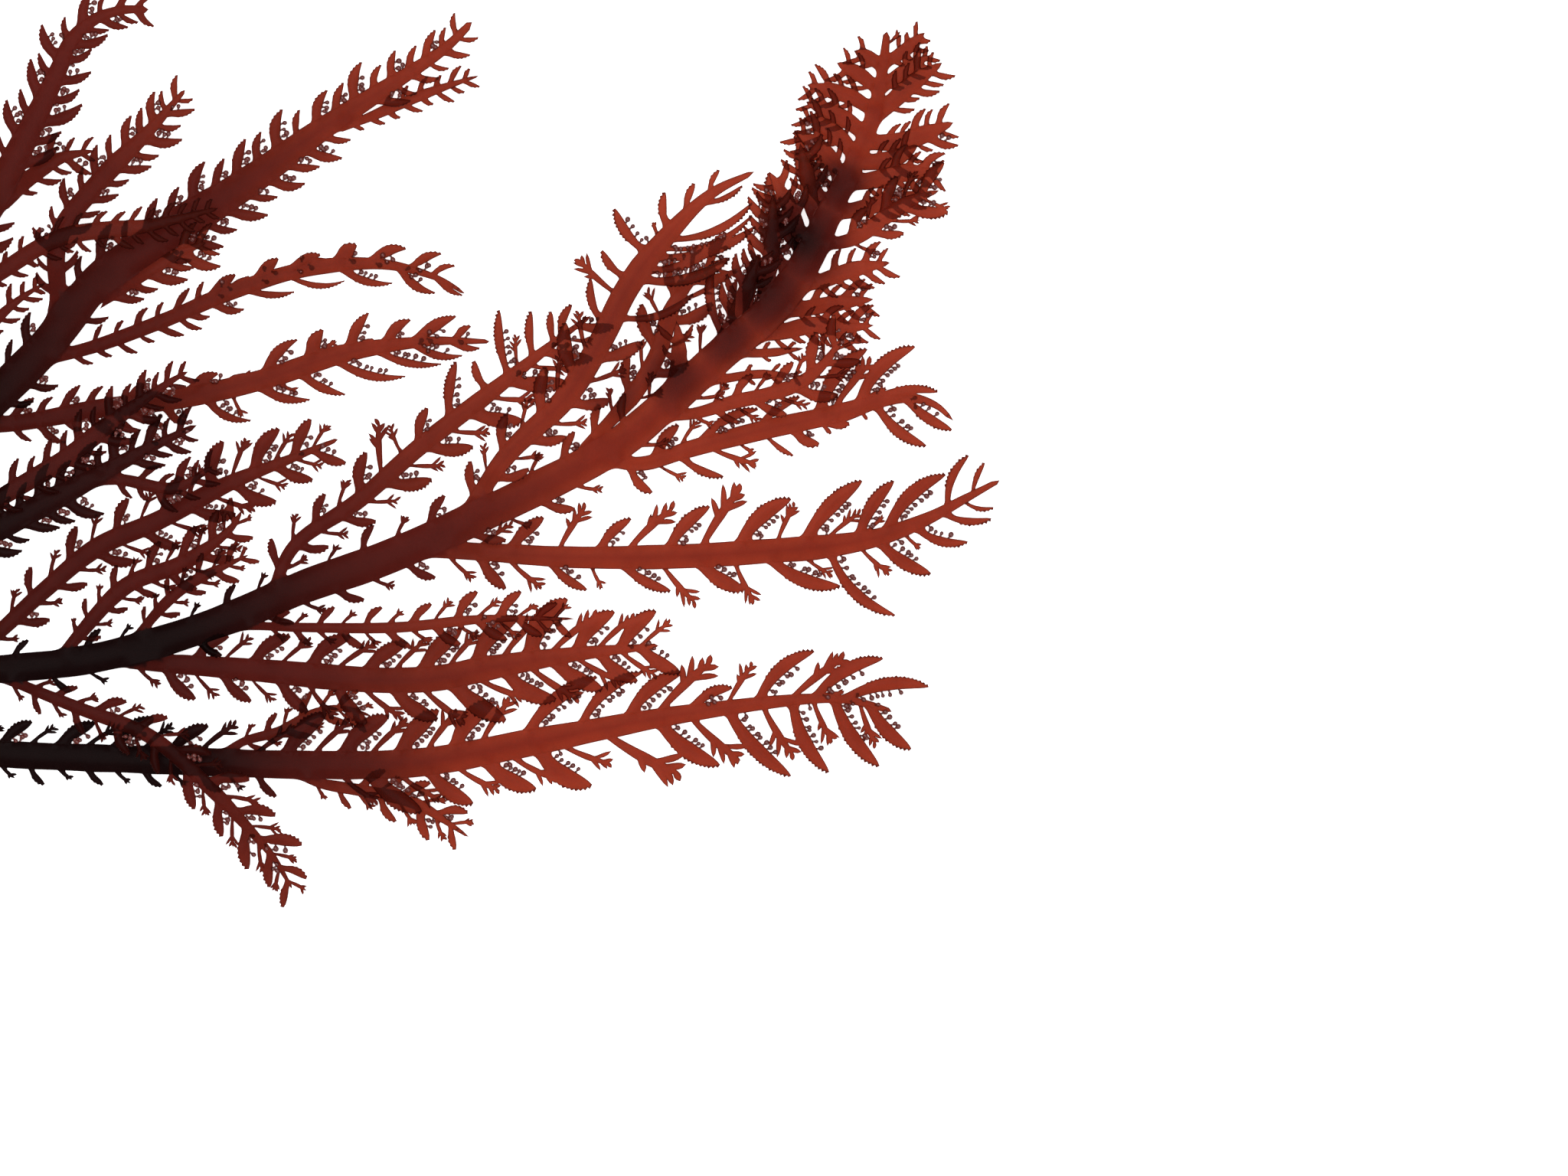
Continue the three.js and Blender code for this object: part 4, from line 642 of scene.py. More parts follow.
class Axis:
    """One axis of a frond: its centre line, width and height, and where it leaves its bearer."""

    def __init__(self, spec, bearer, frond):
        self.spec = spec
        self.frond = frond
        self.bearer = bearer
        self.dense = spec.get("dense", frond in DENSE_FRONDS)
        route = [tuple(p) for p in spec["route"]]
        if bearer:
            route[0] = tuple(bearer.point(bearer.nearest(route[0])))
        raw = smooth_route(route)
        gone = np.concatenate([[0], np.cumsum(np.linalg.norm(np.diff(raw, axis=0), axis=1))])
        self.length = float(gone[-1])
        self.stations = np.linspace(0, self.length, max(FEWEST_SAMPLES, int(self.length / SAMPLE)))
        self.line = np.column_stack([np.interp(self.stations, gone, raw[:, k]) for k in range(3)])
        slope = np.gradient(self.line[:, :2], axis=0)
        self.slope = slope / np.linalg.norm(slope, axis=1, keepdims=True)
        self.exit = 0.0
        self.exit_height = None
        self.children = []
        self.joint = []
        if bearer:
            bearer.children.append(self)

    def point(self, s):
        return [float(np.interp(s, self.stations, self.line[:, k])) for k in range(3)]

    def along(self, s):
        x, y = (float(np.interp(s, self.stations, self.slope[:, k])) for k in range(2))
        return Vector((x, y)).normalized()

    def nearest(self, point):
        """The station along this axis that is nearest to a plan point."""
        far = np.hypot(self.line[:, 0] - point[0], self.line[:, 1] - point[1])
        return float(self.stations[int(np.argmin(far))])

    def half_width(self, s):
        u = s / self.length
        root = self.spec.get("root", DENSE_ROOT_SHARE if self.dense else ROOT_WIDTH_SHARE)
        growth = lerp(root, 1, min(1, u / WIDEST_FROM))
        full = FULL_MAIN if self.spec.get("name") == "central" else TAPER_FROM
        taper = 1 if u < full else lerp(1, TAPER_TO, (u - full) / (1 - full))
        slim = SLIM_SHARE if self.bearer and self.spec["leaflet"] < LARGE_LEAFLET and not self.dense else 1
        swell = 1 + SWELL_DEPTH * noise.noise(Vector((s * SWELL_RATE, self.length, 0)))
        return self.spec["width"] / 2 * growth * taper * slim * swell

    def margin(self, s, side, outward=0.0):
        """A plan point on the margin, or outward of it; side is 1 on the left and -1 on the right."""
        x, y, _ = self.point(s)
        left = turned(self.along(s), math.pi / 2)
        return Vector((x, y)) + left * side * (self.half_width(s) + outward)

    def side_of(self, point):
        s = self.nearest(point)
        x, y, _ = self.point(s)
        return 1 if self.along(s).cross(Vector((point[0] - x, point[1] - y))) > 0 else -1

    def height(self, point):
        """Height of the blade's middle over a plan point."""
        s = self.nearest(point)
        x, y, z = self.point(s)
        if self.exit_height is not None:
            z = lerp(self.exit_height, z, smoothstep(0, SETTLING, s - self.exit))
        out = max(0.0, math.hypot(point[0] - x, point[1] - y) - self.half_width(s))
        place = Vector((point[0] * RIPPLE_RATE, point[1] * RIPPLE_RATE, self.length))
        ripple = RIPPLE_DEPTH * min(out, RIPPLE_REACH) * noise.noise(place)
        return z + LIFT * out + ripple

    def leave_bearer(self):
        """Finds where this axis leaves its bearer's margin, and the joint that both blades share there."""
        bearer = self.bearer
        for s, (x, y, _) in zip(self.stations, self.line):
            at = bearer.nearest((x, y))
            bx, by, _ = bearer.point(at)
            if math.hypot(x - bx, y - by) > bearer.half_width(at):
                break
        self.exit = float(s)
        self.side = bearer.side_of((x, y))
        self.exit_height = bearer.height((x, y))
        turn = max(LEAST_TURN, abs(bearer.along(at).cross(self.along(s))))
        reach = self.half_width(s) / turn
        self.corners = (at - reach, at + reach)
        start = max(JOINT_START, at - reach - JOINT_BEHIND * self.half_width(s) - BEHIND_MORE)
        for other in bearer.children:
            if other is not self and other.joint and other.side == self.side:
                low, high = other.joint_span
                if start < high and at > low:
                    start = high + JOINT_GAP
        stop = min(bearer.length - JOINT_END, max(start + JOINT_LEAST, at + reach + JOINT_AHEAD))
        self.joint_span = (start, stop)
        shares = [k / (JOINT_POINTS - 1) for k in range(JOINT_POINTS)]
        self.joint = [bearer.margin(lerp(start, stop, share), self.side) for share in shares]


def sickle(foot, control, tip, breadth, side, step, tooth=0.0, rng=None, power=TIP_POWER):
    """The outer and the inner margin of a sickle-shaped leaflet in plan, and points inside it.

    Its centre line leaves the foot towards the control point. side is 1 if the outer margin is on the left.
    """
    reach = (tip - foot).length
    count = max(FEWEST_STEPS, round(reach / step))
    outer_line, inner_line, inside = [], [], []
    for k in range(count):
        t = k / count
        centre = foot * (1 - t) ** 2 + control * 2 * t * (1 - t) + tip * t * t
        along = ((control - foot) * (1 - t) + (tip - control) * t).normalized()
        out = turned(along, side * math.pi / 2)
        growth = lerp(NARROW_FOOT, 1, min(1, t / BROAD_FROM))
        half = breadth / 2 * growth * (1 - t**power) ** TIP_ROUNDING
        outer_line.append(centre + out * half)
        if tooth and t > TOOTHED_FROM:
            height = tooth * drawn(rng, *TOOTH_DRAW)
            outer_line.append(centre + along * (reach / count * TOOTH_FORWARD) + out * (half + height))
        inner_line.append(centre - out * half)
        if half > RIM * LEAF_ROWS_FROM:
            inside += [centre + out * (half - RIM), centre - out * (half - RIM)]
        inside.append(centre)
    return outer_line, inner_line, inside


class Blade:
    """Everything in plan of one axis: outlines to join, points inside them, and beads."""

    def __init__(self, axis, rng, tooth):
        self.axis = axis
        self.rng = rng
        self.tooth = tooth
        self.outlines = []
        self.inside = []
        self.beads = []
        self.add_axis()
        measured = axis.spec.get("leaflets_at", []) + axis.spec.get("branchlets_at", [])
        stops = {}
        for side in (1, -1):
            stations = [axis.nearest(at) for at in measured if axis.side_of(at[2:4]) == side]
            stops[side] = min(stations, default=axis.length + axis.spec["pitch"])
        self.add_nodes(stops)
        for at in measured:
            self.add_measured(*at)

    def add_outline(self, outline, inside):
        turn = sum(a.cross(b) for a, b in zip(outline, outline[1:] + outline[:1]))
        self.outlines.append(outline if turn > 0 else outline[::-1])
        self.inside += inside

    def first_free(self, side):
        """Where a margin of this axis comes clear of its bearer."""
        axis, bearer = self.axis, self.axis.bearer
        if not bearer:
            return 0.0
        s = 0.0
        while s < axis.length * FREE_TO:
            point = axis.margin(s, side)
            at = bearer.nearest(point)
            x, y, _ = bearer.point(at)
            clearance = math.hypot(point.x - x, point.y - y)
            if s > axis.exit * FREE_FROM and clearance > bearer.half_width(at) + FREE_GAP:
                break
            s += FREE_STEP
        return s

    def margin_line(self, side):
        """The free margin of the axis on one side, with the joints of the side axes there."""
        axis = self.axis
        joints = sorted((c for c in axis.children if c.side == side), key=lambda c: c.joint_span[0])
        line = []
        s = self.first_free(side)
        while s < axis.length - AXIS_STEP / 2:
            if joints and joints[0].joint_span[0] - JOINT_STANDOFF <= s:
                child = joints.pop(0)
                line += child.joint
                s = child.joint_span[1] + AXIS_STEP / 2
            else:
                line.append(axis.margin(s, side))
                s += AXIS_STEP
        return line

    def add_axis(self):
        axis = self.axis
        lines = {side: self.margin_line(side) for side in (1, -1)}
        tip = Vector(axis.point(axis.length)[:2])
        if axis.bearer:
            rear, front = axis.side, -axis.side
            corners = [axis.bearer.margin(s, axis.side) for s in axis.corners]
            front_notch = fillet(axis.joint[-1], corners[1], lines[front][0])
            rear_notch = fillet(axis.joint[0], corners[0], lines[rear][0])
            outline = axis.joint + front_notch + lines[front] + [tip] + lines[rear][::-1] + rear_notch[::-1]
        else:
            back = Vector(axis.point(0)[:2]) - axis.along(0) * BACK_LENGTH
            outline = [back] + lines[-1] + [tip] + lines[1][::-1]
        inside = []
        for s in np.arange(axis.exit, axis.length, AXIS_STEP):
            centre = Vector(axis.point(s)[:2])
            half = axis.half_width(s)
            left = turned(axis.along(s), math.pi / 2)
            inside.append(centre)
            offsets = [half * 0.5] if half > INNER_ROW_FROM else []
            offsets += [half - RIM] if half > RIM_ROW_FROM else []
            for offset in offsets:
                inside += [centre + left * offset, centre - left * offset]
        self.add_outline(outline, inside)

    def tip_of(self, s, side, size):
        """The tip of a leaflet of this size, leaning forward by chance a little more or less."""
        lean = (self.rng.random() - 0.5) * LEAN_SPREAD
        along = self.axis.along(s)
        left = turned(along, math.pi / 2)
        reach = along * LEAFLET_REACH[0] + left * side * LEAFLET_REACH[1]
        return self.axis.margin(s, side) + turned(reach, lean) * size

    def course(self, s, side, tip, breadth, bend):
        """Foot inside the axis, control point and tip of a leaflet's centre line.

        The foot lies so far inside that both margins of the leaflet cross the axis's margin.
        """
        axis = self.axis
        margin = axis.margin(s, side)
        chord = tip - margin
        control = (margin + tip) / 2 + turned(chord, side * math.pi / 2) * bend
        way = (control - margin).normalized()
        rise = max(LEAST_SLANT, abs(axis.along(s).cross(way)))
        slanted = breadth * 0.5 * NARROW_FOOT * math.sqrt(max(0, 1 - rise * rise))
        depth = min(slanted + FOOT_DEPTH, DEEPEST_FOOT * axis.half_width(s))
        return margin - way * (depth / rise), control, tip

    def clear_of(self, line, side):
        """The stretch of a leaflet's margin outside the axis, and the station where it leaves the axis."""
        axis = self.axis
        for k, p in enumerate(line):
            at = axis.nearest(p)
            x, y, _ = axis.point(at)
            if math.hypot(p.x - x, p.y - y) > axis.half_width(at) or axis.side_of(p) != side:
                break
        if k:
            before = axis.nearest(line[k - 1])
            at = (at + before) / 2
        return line[k:], at

    def on_margin(self, side, tip, parts, notch):
        """Joins a leaflet's margins to the axis by rounded notches, and adds it as an outline."""
        outer, inner, inside = parts
        axis = self.axis
        low = self.first_free(side)
        lines = []
        for line, back in ((outer, 1), (inner, -1)):
            free, at = self.clear_of(line, side)
            crotch = axis.margin(min(axis.length, max(low, at)), side)
            while len(free) > 1 and (free[0] - crotch).length < notch:
                free.pop(0)
            start = axis.margin(min(axis.length, max(low, at - back * notch)), side, -FOOT_SUNK)
            lines.append([start] + fillet(start, crotch, free[0]) + free)
        self.add_outline(lines[0] + [tip] + lines[1][::-1], inside)

    def add_leaflet(self, s, side, tip, breadth):
        """A sickle-shaped leaflet with teeth on its outer margin, and beads where it is broad."""
        axis, rng = self.axis, self.rng
        reach = (tip - axis.margin(s, side)).length
        tooth = self.tooth * min(1, reach / FULL_TOOTH_REACH) * (DENSE_TOOTH if axis.dense else 1)
        bend = LEAFLET_BEND * drawn(rng, *BEND_DRAW)
        power = POINTED_POWER if axis.dense else TIP_POWER
        course = self.course(s, side, tip, breadth, bend)
        parts = sickle(*course, breadth, side, LEAFLET_STEP, tooth, rng, power)
        self.on_margin(side, tip, parts, NOTCH * min(1, breadth))
        if breadth > BEADED_FROM:
            line, at = self.clear_of(parts[1], side)
            self.add_beads(line, reach, -side)
            if at + AXIS_BEAD_ROOM < axis.length:
                ahead = [axis.margin(at + step, side) for step in AXIS_BEAD_STEPS]
                self.add_beads(ahead, AXIS_BEAD_REACH, side)

    def add_beads(self, margin, reach, inward):
        """Beads along a margin, as many as a reach has room for; inward is 1 if they point to its left."""
        rng = self.rng
        count = int(min(MOST_BEADS, reach * BEADED_SHARE / BEAD_SPACING)) if len(margin) > 2 else 0
        for k in range(count):
            share = FIRST_BEAD + BEAD_ROW * (k + BEAD_JITTER * rng.random()) / count
            at = share * (len(margin) - 1)
            here = int(at)
            base = margin[here].lerp(margin[here + 1], at - here)
            along = (margin[here + 1] - margin[here]).normalized()
            lean = turned(turned(along, inward * math.pi / 2), -inward * drawn(rng, *BEAD_LEAN_DRAW))
            self.beads.append((base, lean, drawn(rng, *BEAD_LENGTH_DRAW), drawn(rng, *BEAD_SIZE_DRAW)))

    def add_branchlet(self, s, side, tip, fingers):
        """A small forked branchlet: a slender stalk with pointed fingers by turns on both sides."""
        rng = self.rng
        foot = self.axis.margin(s, side)
        way = tip - foot
        breadth = max(BRANCHLET_LEAST_BREADTH, BRANCHLET_BREADTH * way.length)
        course = self.course(s, side, tip, breadth, BRANCHLET_BEND)
        stalk = sickle(*course, breadth, side, BRANCHLET_STEP)
        self.on_margin(side, tip, stalk, BRANCHLET_NOTCH * NOTCH)
        slender = max(FINGER_LEAST_BREADTH, FINGER_BREADTH * way.length)
        for k in range(fingers):
            angle = FINGER_ANGLES[k] * drawn(rng, *FINGER_ANGLE_DRAW)
            start = foot + way * (FINGER_SHARES[k] + FINGER_START_SPREAD * (rng.random() - 0.5))
            length = drawn(rng, *FINGER_LENGTH_DRAW)
            end = start + turned(way, side * angle) * FINGER_LENGTHS[k] * length
            across = turned(end - start, side * math.copysign(math.pi / 2, angle))
            middle = (start + end) / 2 - across * FINGER_BEND
            outer, inner, inside = sickle(start, middle, end, slender, side, BRANCHLET_STEP)
            self.add_outline(outer + [end] + inner[::-1], inside)

    def add_measured(self, foot_x, foot_y, tip_x, tip_y, breadth=None):
        """A leaflet, or without a breadth a branchlet, between its measured foot and tip."""
        axis = self.axis
        s = axis.nearest((foot_x, foot_y))
        tip = Vector((tip_x, tip_y))
        side = axis.side_of(tip)
        if breadth:
            self.add_leaflet(s, side, tip, breadth * (1 if axis.dense else MEASURED_BREADTH))
        else:
            size = (tip - axis.margin(s, side)).length
            self.add_branchlet(s, side, tip, finger_count(size, MEASURED_FINGERS_ABOVE))

    def near_joint(self, s, side):
        """Whether a side axis leaves the axis near this station."""
        spans = [c.joint_span for c in self.axis.children if c.side == side]
        return any(low - JOINT_CLEARANCE < s < high + JOINT_CLEARANCE for low, high in spans)

    def add_nodes(self, stops):
        """Alternating nodes from the bare root to a side's first measured leaflet, or to the tip."""
        axis, rng = self.axis, self.rng
        leaflet = axis.spec["leaflet"]
        s = axis.spec["bare"]
        pitch = axis.spec["pitch"] * PITCH_SHARE
        turn = 1 if rng.random() < 0.5 else -1
        while s < axis.length - LAST_NODE_SHARE * pitch:
            u = s / axis.length
            growth = lerp(YOUNG_SIZE, 1, min(1, u / GROWN_FROM))
            near_tip = (u - 1 + TIP_SHARE) / TIP_SHARE
            tip_taper = lerp(1, TIP_SIZE, near_tip) if u > 1 - TIP_SHARE else 1
            for side in (turn, -turn):
                size = leaflet * growth * tip_taper * (1 - SIZE_SPREAD * rng.random())
                if self.near_joint(s, side):
                    continue
                first = self.first_free(side) + ROOT_CLEARANCE
                last = stops[side] - MEASURED_CLEARANCE * pitch
                if s < first or s > last:
                    continue
                if side < 0 and s < axis.spec.get("worn", 0):
                    size *= WORN_SHARE
                self.add_grown(s, side, size, side == turn)
            turn = -turn
            s += pitch * lerp(1, CROWDED_PITCH, max(0, (u - CROWDED_FROM) / (1 - CROWDED_FROM)))

    def add_grown(self, s, side, size, leading):
        """A leaflet on the node's leading side, and on the other a branchlet, or a leaflet if dense."""
        if self.axis.dense:
            size *= 1 if leading else DENSE_SHARE
            tip = self.tip_of(s, side, size)
            self.add_leaflet(s, side, tip, max(DENSE_LEAST_BREADTH, DENSE_BREADTH * size))
        elif leading:
            tip = self.tip_of(s, side, size)
            self.add_leaflet(s, side, tip, max(LEAST_BREADTH, LEAFLET_BREADTH * size))
        else:
            size *= BRANCHLET_SHARE
            tip = self.tip_of(s, side, size)
            self.add_branchlet(s, side, tip, finger_count(size, FINGERS_ABOVE))

    def triangulated(self):
        """Plan points and triangles of the outlines' tissue, without the windows that leaflets shut in."""
        points = [p for outline in self.outlines for p in outline]
        faces, first = [], 0
        for outline in self.outlines:
            faces.append(list(range(first, first + len(outline))))
            first += len(outline)
        flat, _, triangles, _, _, owners = delaunay_2d_cdt(
            points + self.inside, [], faces, INSIDE_ONLY, OUTLINE_TOLERANCE)
        spans = [(min(p.x for p in o), max(p.x for p in o), min(p.y for p in o), max(p.y for p in o), o)
                 for o in self.outlines]

        def is_tissue(triangle):
            """Whether a triangle that no outline owns lies in one all the same, one that crosses itself."""
            middle = sum((flat[i] for i in triangle), Vector((0, 0))) / 3
            return any(west < middle.x < east and south < middle.y < north and goes_round(outline, middle)
                       for west, east, south, north, outline in spans)

        triangles = [t for t, inside in zip(triangles, owners) if len(t) == 3 and (inside or is_tissue(t))]
        triangles = largest_part(triangles)
        kept = sorted({i for t in triangles for i in t})
        place = {i: k for k, i in enumerate(kept)}
        return [flat[i] for i in kept], [[place[i] for i in t] for t in triangles]

    def solid(self):
        """Corners, their margin distances and values of age and painted shade, and the triangles of the
        closed blade.
        """
        axis = self.axis
        flat, triangles = self.triangulated()
        joints = {}
        for owner in axis.children + ([axis] if axis.bearer else []):
            for k, p in enumerate(owner.joint):
                joints[key(p)] = (owner, k)
        free = free_edges(flat, triangles, joints)
        inset = margin_distances(flat, free, joints)
        top, bottom, age_and_shade = [], [], []
        for p, d in zip(flat, inset):
            owner, _ = joints.get(key(p), (None, 0))
            half = half_thickness(d)
            z = max((owner.bearer if owner else axis).height(p), half + FLOOR_CLEARANCE)
            top.append((p.x, p.y, z + half))
            bottom.append((p.x, p.y, z - half))
            age_and_shade.append(age_and_shade_at(axis, p))
        count = len(flat)
        faces = [tuple(count + i for i in t) for t in triangles] + [t[::-1] for t in map(tuple, triangles)]
        for a, b in free:
            faces += [(a, b, count + b), (a, count + b, count + a)]
        return bottom + top, faces, inset * 2, age_and_shade * 2


def finger_count(size, steps):
    """The number of fingers that goes with the first size that is exceeded."""
    return next(count for least, count in steps if size > least)


def free_edges(flat, triangles, joints):
    """The outer edges of the triangles, apart from those on a joint, where another blade goes on."""
    used = dict.fromkeys(edge for t in triangles for edge in zip(t, t[1:] + t[:1]))

    def is_joint(a, b):
        one, two = joints.get(key(flat[a])), joints.get(key(flat[b]))
        return one and two and one[0] is two[0] and abs(one[1] - two[1]) == 1

    return [(a, b) for a, b in used if (b, a) not in used and not is_joint(a, b)]


def margin_distances(flat, free, joints):
    """How far each plan point is from the free margin."""
    edges_at = {}
    for a, b in free:
        edges_at.setdefault(a, []).append((a, b))
        edges_at.setdefault(b, []).append((a, b))
    tree = kdtree.KDTree(len(edges_at))
    for i in edges_at:
        tree.insert((*flat[i], 0), i)
    tree.balance()
    distances = []
    for i, p in enumerate(flat):
        owner, _ = joints.get(key(p), (None, 0))
        if i in edges_at:
            distances.append(0.0)
        elif owner:
            distances.append(min((p - owner.joint[0]).length, (p - owner.joint[-1]).length))
        else:
            near = [n for _, n, _ in tree.find_n((*p, 0), NEAR_POINTS)]
            distances.append(min(distance_to(p, flat[a], flat[b]) for n in near for a, b in edges_at[n]))
    return distances


def goes_round(outline, p):
    """Whether an outline, even one that crosses itself, goes round a point."""
    turns = 0
    for a, b in zip(outline, outline[1:] + outline[:1]):
        if a.y <= p.y < b.y and (b - a).cross(p - a) > 0:
            turns += 1
        elif b.y <= p.y < a.y and (b - a).cross(p - a) < 0:
            turns -= 1
    return turns != 0


def largest_part(triangles):
    """The triangles of the largest connected part."""
    at_edge = {}
    for n, t in enumerate(triangles):
        for a, b in zip(t, t[1:] + t[:1]):
            at_edge.setdefault((min(a, b), max(a, b)), []).append(n)
    neighbours = [[] for _ in triangles]
    for sharers in at_edge.values():
        for n in sharers:
            neighbours[n] += sharers
    seen = [False] * len(triangles)
    largest = []
    for first in range(len(triangles)):
        if seen[first]:
            continue
        part, waiting = [], [first]
        seen[first] = True
        while waiting:
            n = waiting.pop()
            part.append(n)
            for other in neighbours[n]:
                if not seen[other]:
                    seen[other] = True
                    waiting.append(other)
        if len(part) > len(largest):
            largest = part
    return [triangles[n] for n in sorted(largest)]


def key(point):
    """A plan point rounded, so that both blades at a joint find the same one."""
    return round(point[0], SAME_POINT_DIGITS), round(point[1], SAME_POINT_DIGITS)


def fillet(start, corner, end):
    """Points of a rounded notch between two margins."""
    return [start * (1 - t) ** 2 + corner * 2 * t * (1 - t) + end * t * t for t in FILLET_STEPS]


def distance_to(point, a, b):
    """Distance of a plan point from the stretch between two others."""
    stretch = b - a
    t = max(0.0, min(1.0, (point - a).dot(stretch) / max(TINY, stretch.length_squared)))
    return (point - a - stretch * t).length


def half_thickness(d):
    """Half thickness at a distance from the margin: thin edge, rounded leaflet, thicker broad axis."""
    edge = 1 - min(d / LEAF_ROUNDING, 1)
    broad = smoothstep(LEAF_ROUNDING, LEAF_ROUNDING + AXIS_ROUNDING, d)
    return EDGE_HALF + (LEAF_HALF - EDGE_HALF) * math.sqrt(1 - edge * edge) + AXIS_EXTRA * broad


def age_and_shade_at(axis, point):
    """How old and dark the tissue is, with painted shade: most on main axes near the stem, partly with age
    and partly as painted shade of thick tissue, and in the painted shade patches where layers overlap.
    """
    # darker towards the stem: older tissue, and painted shade of thick tissue that lets less light through
    near = 1 - smoothstep(*OLD_AND_SHADED_SPANS[axis.frond], point[0])
    if axis.bearer:
        near *= lerp(*SIDE_AGE_AND_SHADE, axis.nearest(point) / axis.length)
    age_and_shade = lerp(TIP_AGE_AND_SHADE[axis.frond], 1, near)
    if axis.frond == "central_frond":
        # painted shade where overlapping layers darken the blade
        for x, y, reach, depth in OVERLAP_SHADE_PATCHES:
            far = math.hypot(point[0] - x, point[1] - y) / reach
            age_and_shade = max(age_and_shade, depth * (1 - smoothstep(0, 1, far)))
    return age_and_shade


def grow(frond):
    """The axes of a frond, each after its bearer."""
    axes = {}
    for number, spec in enumerate(FRONDS[frond]):
        axes[spec.get("name", number)] = Axis(spec, axes.get(spec.get("on")), frond)
    for axis in axes.values():
        if axis.bearer:
            axis.leave_bearer()
    return list(axes.values())


def mesh_object(name, vertices, faces, attributes, material):
    """A smooth-shaded piece from corners in millimetres, with a value of each corner for each label."""
    mesh = bpy.data.meshes.new(name)
    mesh.from_pydata([(x * MM, y * MM, z * MM) for x, y, z in vertices], [], faces)
    for label, values in attributes.items():
        layer = mesh.attributes.new(label, "FLOAT", "POINT")
        layer.data.foreach_set("value", values)
    mesh.shade_smooth()
    mesh.materials.append(material)
    piece = bpy.data.objects.new(name, mesh)
    bpy.context.collection.objects.link(piece)
    return piece


def close_slits(mesh):
    """Closes the few slits left where a leaflet crosses the joint of two axes."""
    form = bmesh.new()
    form.from_mesh(mesh)
    bmesh.ops.holes_fill(form, edges=[e for e in form.edges if len(e.link_faces) == 1], sides=0)
    bmesh.ops.triangulate(form, faces=[f for f in form.faces if len(f.verts) > 3])
    form.to_mesh(mesh)
    form.free()
    mesh.shade_smooth()


def dress(piece, node):
    """Lets a piece ride on the root body and stand for a node."""
    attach(piece, "root")
    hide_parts(node)
    return piece


def build_frond(frond):
    """The blades of a frond as one piece, whose axes share their corners at the joints, and its beads."""
    sizes = bpy.context.scene.spray_sizes
    rng = random.Random(f"{frond} {sizes.seed}")
    vertices, faces, inset, age_and_shade, beads = [], [], [], [], []
    place_of = {}
    for axis in grow(frond):
        blade = Blade(axis, rng, sizes.tooth_height / MM)
        corners, triangles, insets, ages = blade.solid()
        index = []
        for corner, d, old in zip(corners, insets, ages):
            at = tuple(round(c, SAME_CORNER_DIGITS) for c in corner)
            if at not in place_of:
                place_of[at] = len(vertices)
                vertices.append(corner)
                inset.append(d)
                age_and_shade.append(old)
            index.append(place_of[at])
        faces += [t for t in (tuple(index[i] for i in t) for t in triangles) if len(set(t)) == 3]
        beads += [(base, lean, length, size, max(axis.height(base), LOWEST_BEAD))
                  for base, lean, length, size in blade.beads]
    # the attributes carry the painted edge shade, and the age and painted shade
    values = {"inset": inset, "age_and_shade": age_and_shade}
    blades = mesh_object(f"{frond}_blades", vertices, faces, values, tissue_material())
    close_slits(blades.data)
    dress(blades, frond)
    if beads:
        dress(build_beads(f"{frond}_beads", beads, rng, sizes.bead_radius / MM), frond)


def round_rings(rings, sides):
    """Faces that join rings of corners, closed at both ends by a last corner each."""
    faces = []
    for ring in range(rings - 1):
        for k in range(sides):
            a, b = ring * sides + k, ring * sides + (k + 1) % sides
            faces.append((a, b, b + sides, a + sides))
    low, high = rings * sides, rings * sides + 1
    for k in range(sides):
        faces.append((low, (k + 1) % sides, k))
        faces.append((high, (rings - 1) * sides + k, (rings - 1) * sides + (k + 1) % sides))
    return faces


def build_beads(name, beads, rng, radius):
    """Stalked beads, each a round head on a thin stalk in one closed turned form."""
    vertices, faces, heads = [], [], []
    for base, lean, length, size, height in beads:
        r = radius * size
        stalk = BEAD_STALK * length
        turns = [math.pi * k / BEAD_RINGS for k in range(1, BEAD_RINGS)]
        head = [(math.sin(turn) * r, stalk + r - math.cos(turn) * r) for turn in turns]
        profile = [(width, along * stalk) for along, width in STALK_PROFILE] + head
        rise = (rng.random() - 0.5) * BEAD_RISE_SPREAD
        way = Vector((lean.x, lean.y, rise)).normalized()
        sideways = way.cross(Vector((0, 0, 1))).normalized()
        upright = sideways.cross(way)
        start = Vector((base.x, base.y, height))
        first = len(vertices)
        corners = []
        for width, along in profile:
            for k in range(BEAD_SIDES):
                a = 2 * math.pi * k / BEAD_SIDES
                around = sideways * math.cos(a) + upright * math.sin(a)
                corners.append(start + way * along + around * width)
        corners += [start - way * STALK_END * stalk, start + way * (stalk + 2 * r)]
        vertices += [(v.x, v.y, max(v.z, FLOOR_CLEARANCE)) for v in corners]
        heads += [0.0] * (len(STALK_PROFILE) * BEAD_SIDES) + [1.0] * (len(head) * BEAD_SIDES) + [0.0, 1.0]
        faces += [tuple(first + i for i in face) for face in round_rings(len(profile), BEAD_SIDES)]
    return mesh_object(name, vertices, faces, {"head": heads}, bead_material())


def set_sockets(node, values):
    for label, value in values.items():
        node.inputs[label].default_value = value


def new_group(name, inputs, outputs):
    tree = bpy.data.node_groups.new(name, "ShaderNodeTree")
    for label, kind, default in inputs:
        socket = tree.interface.new_socket(name=label, in_out="INPUT", socket_type=kind)
        socket.default_value = default
    for label, kind in outputs:
        tree.interface.new_socket(name=label, in_out="OUTPUT", socket_type=kind)
    return tree, tree.nodes.new("NodeGroupInput"), tree.nodes.new("NodeGroupOutput")


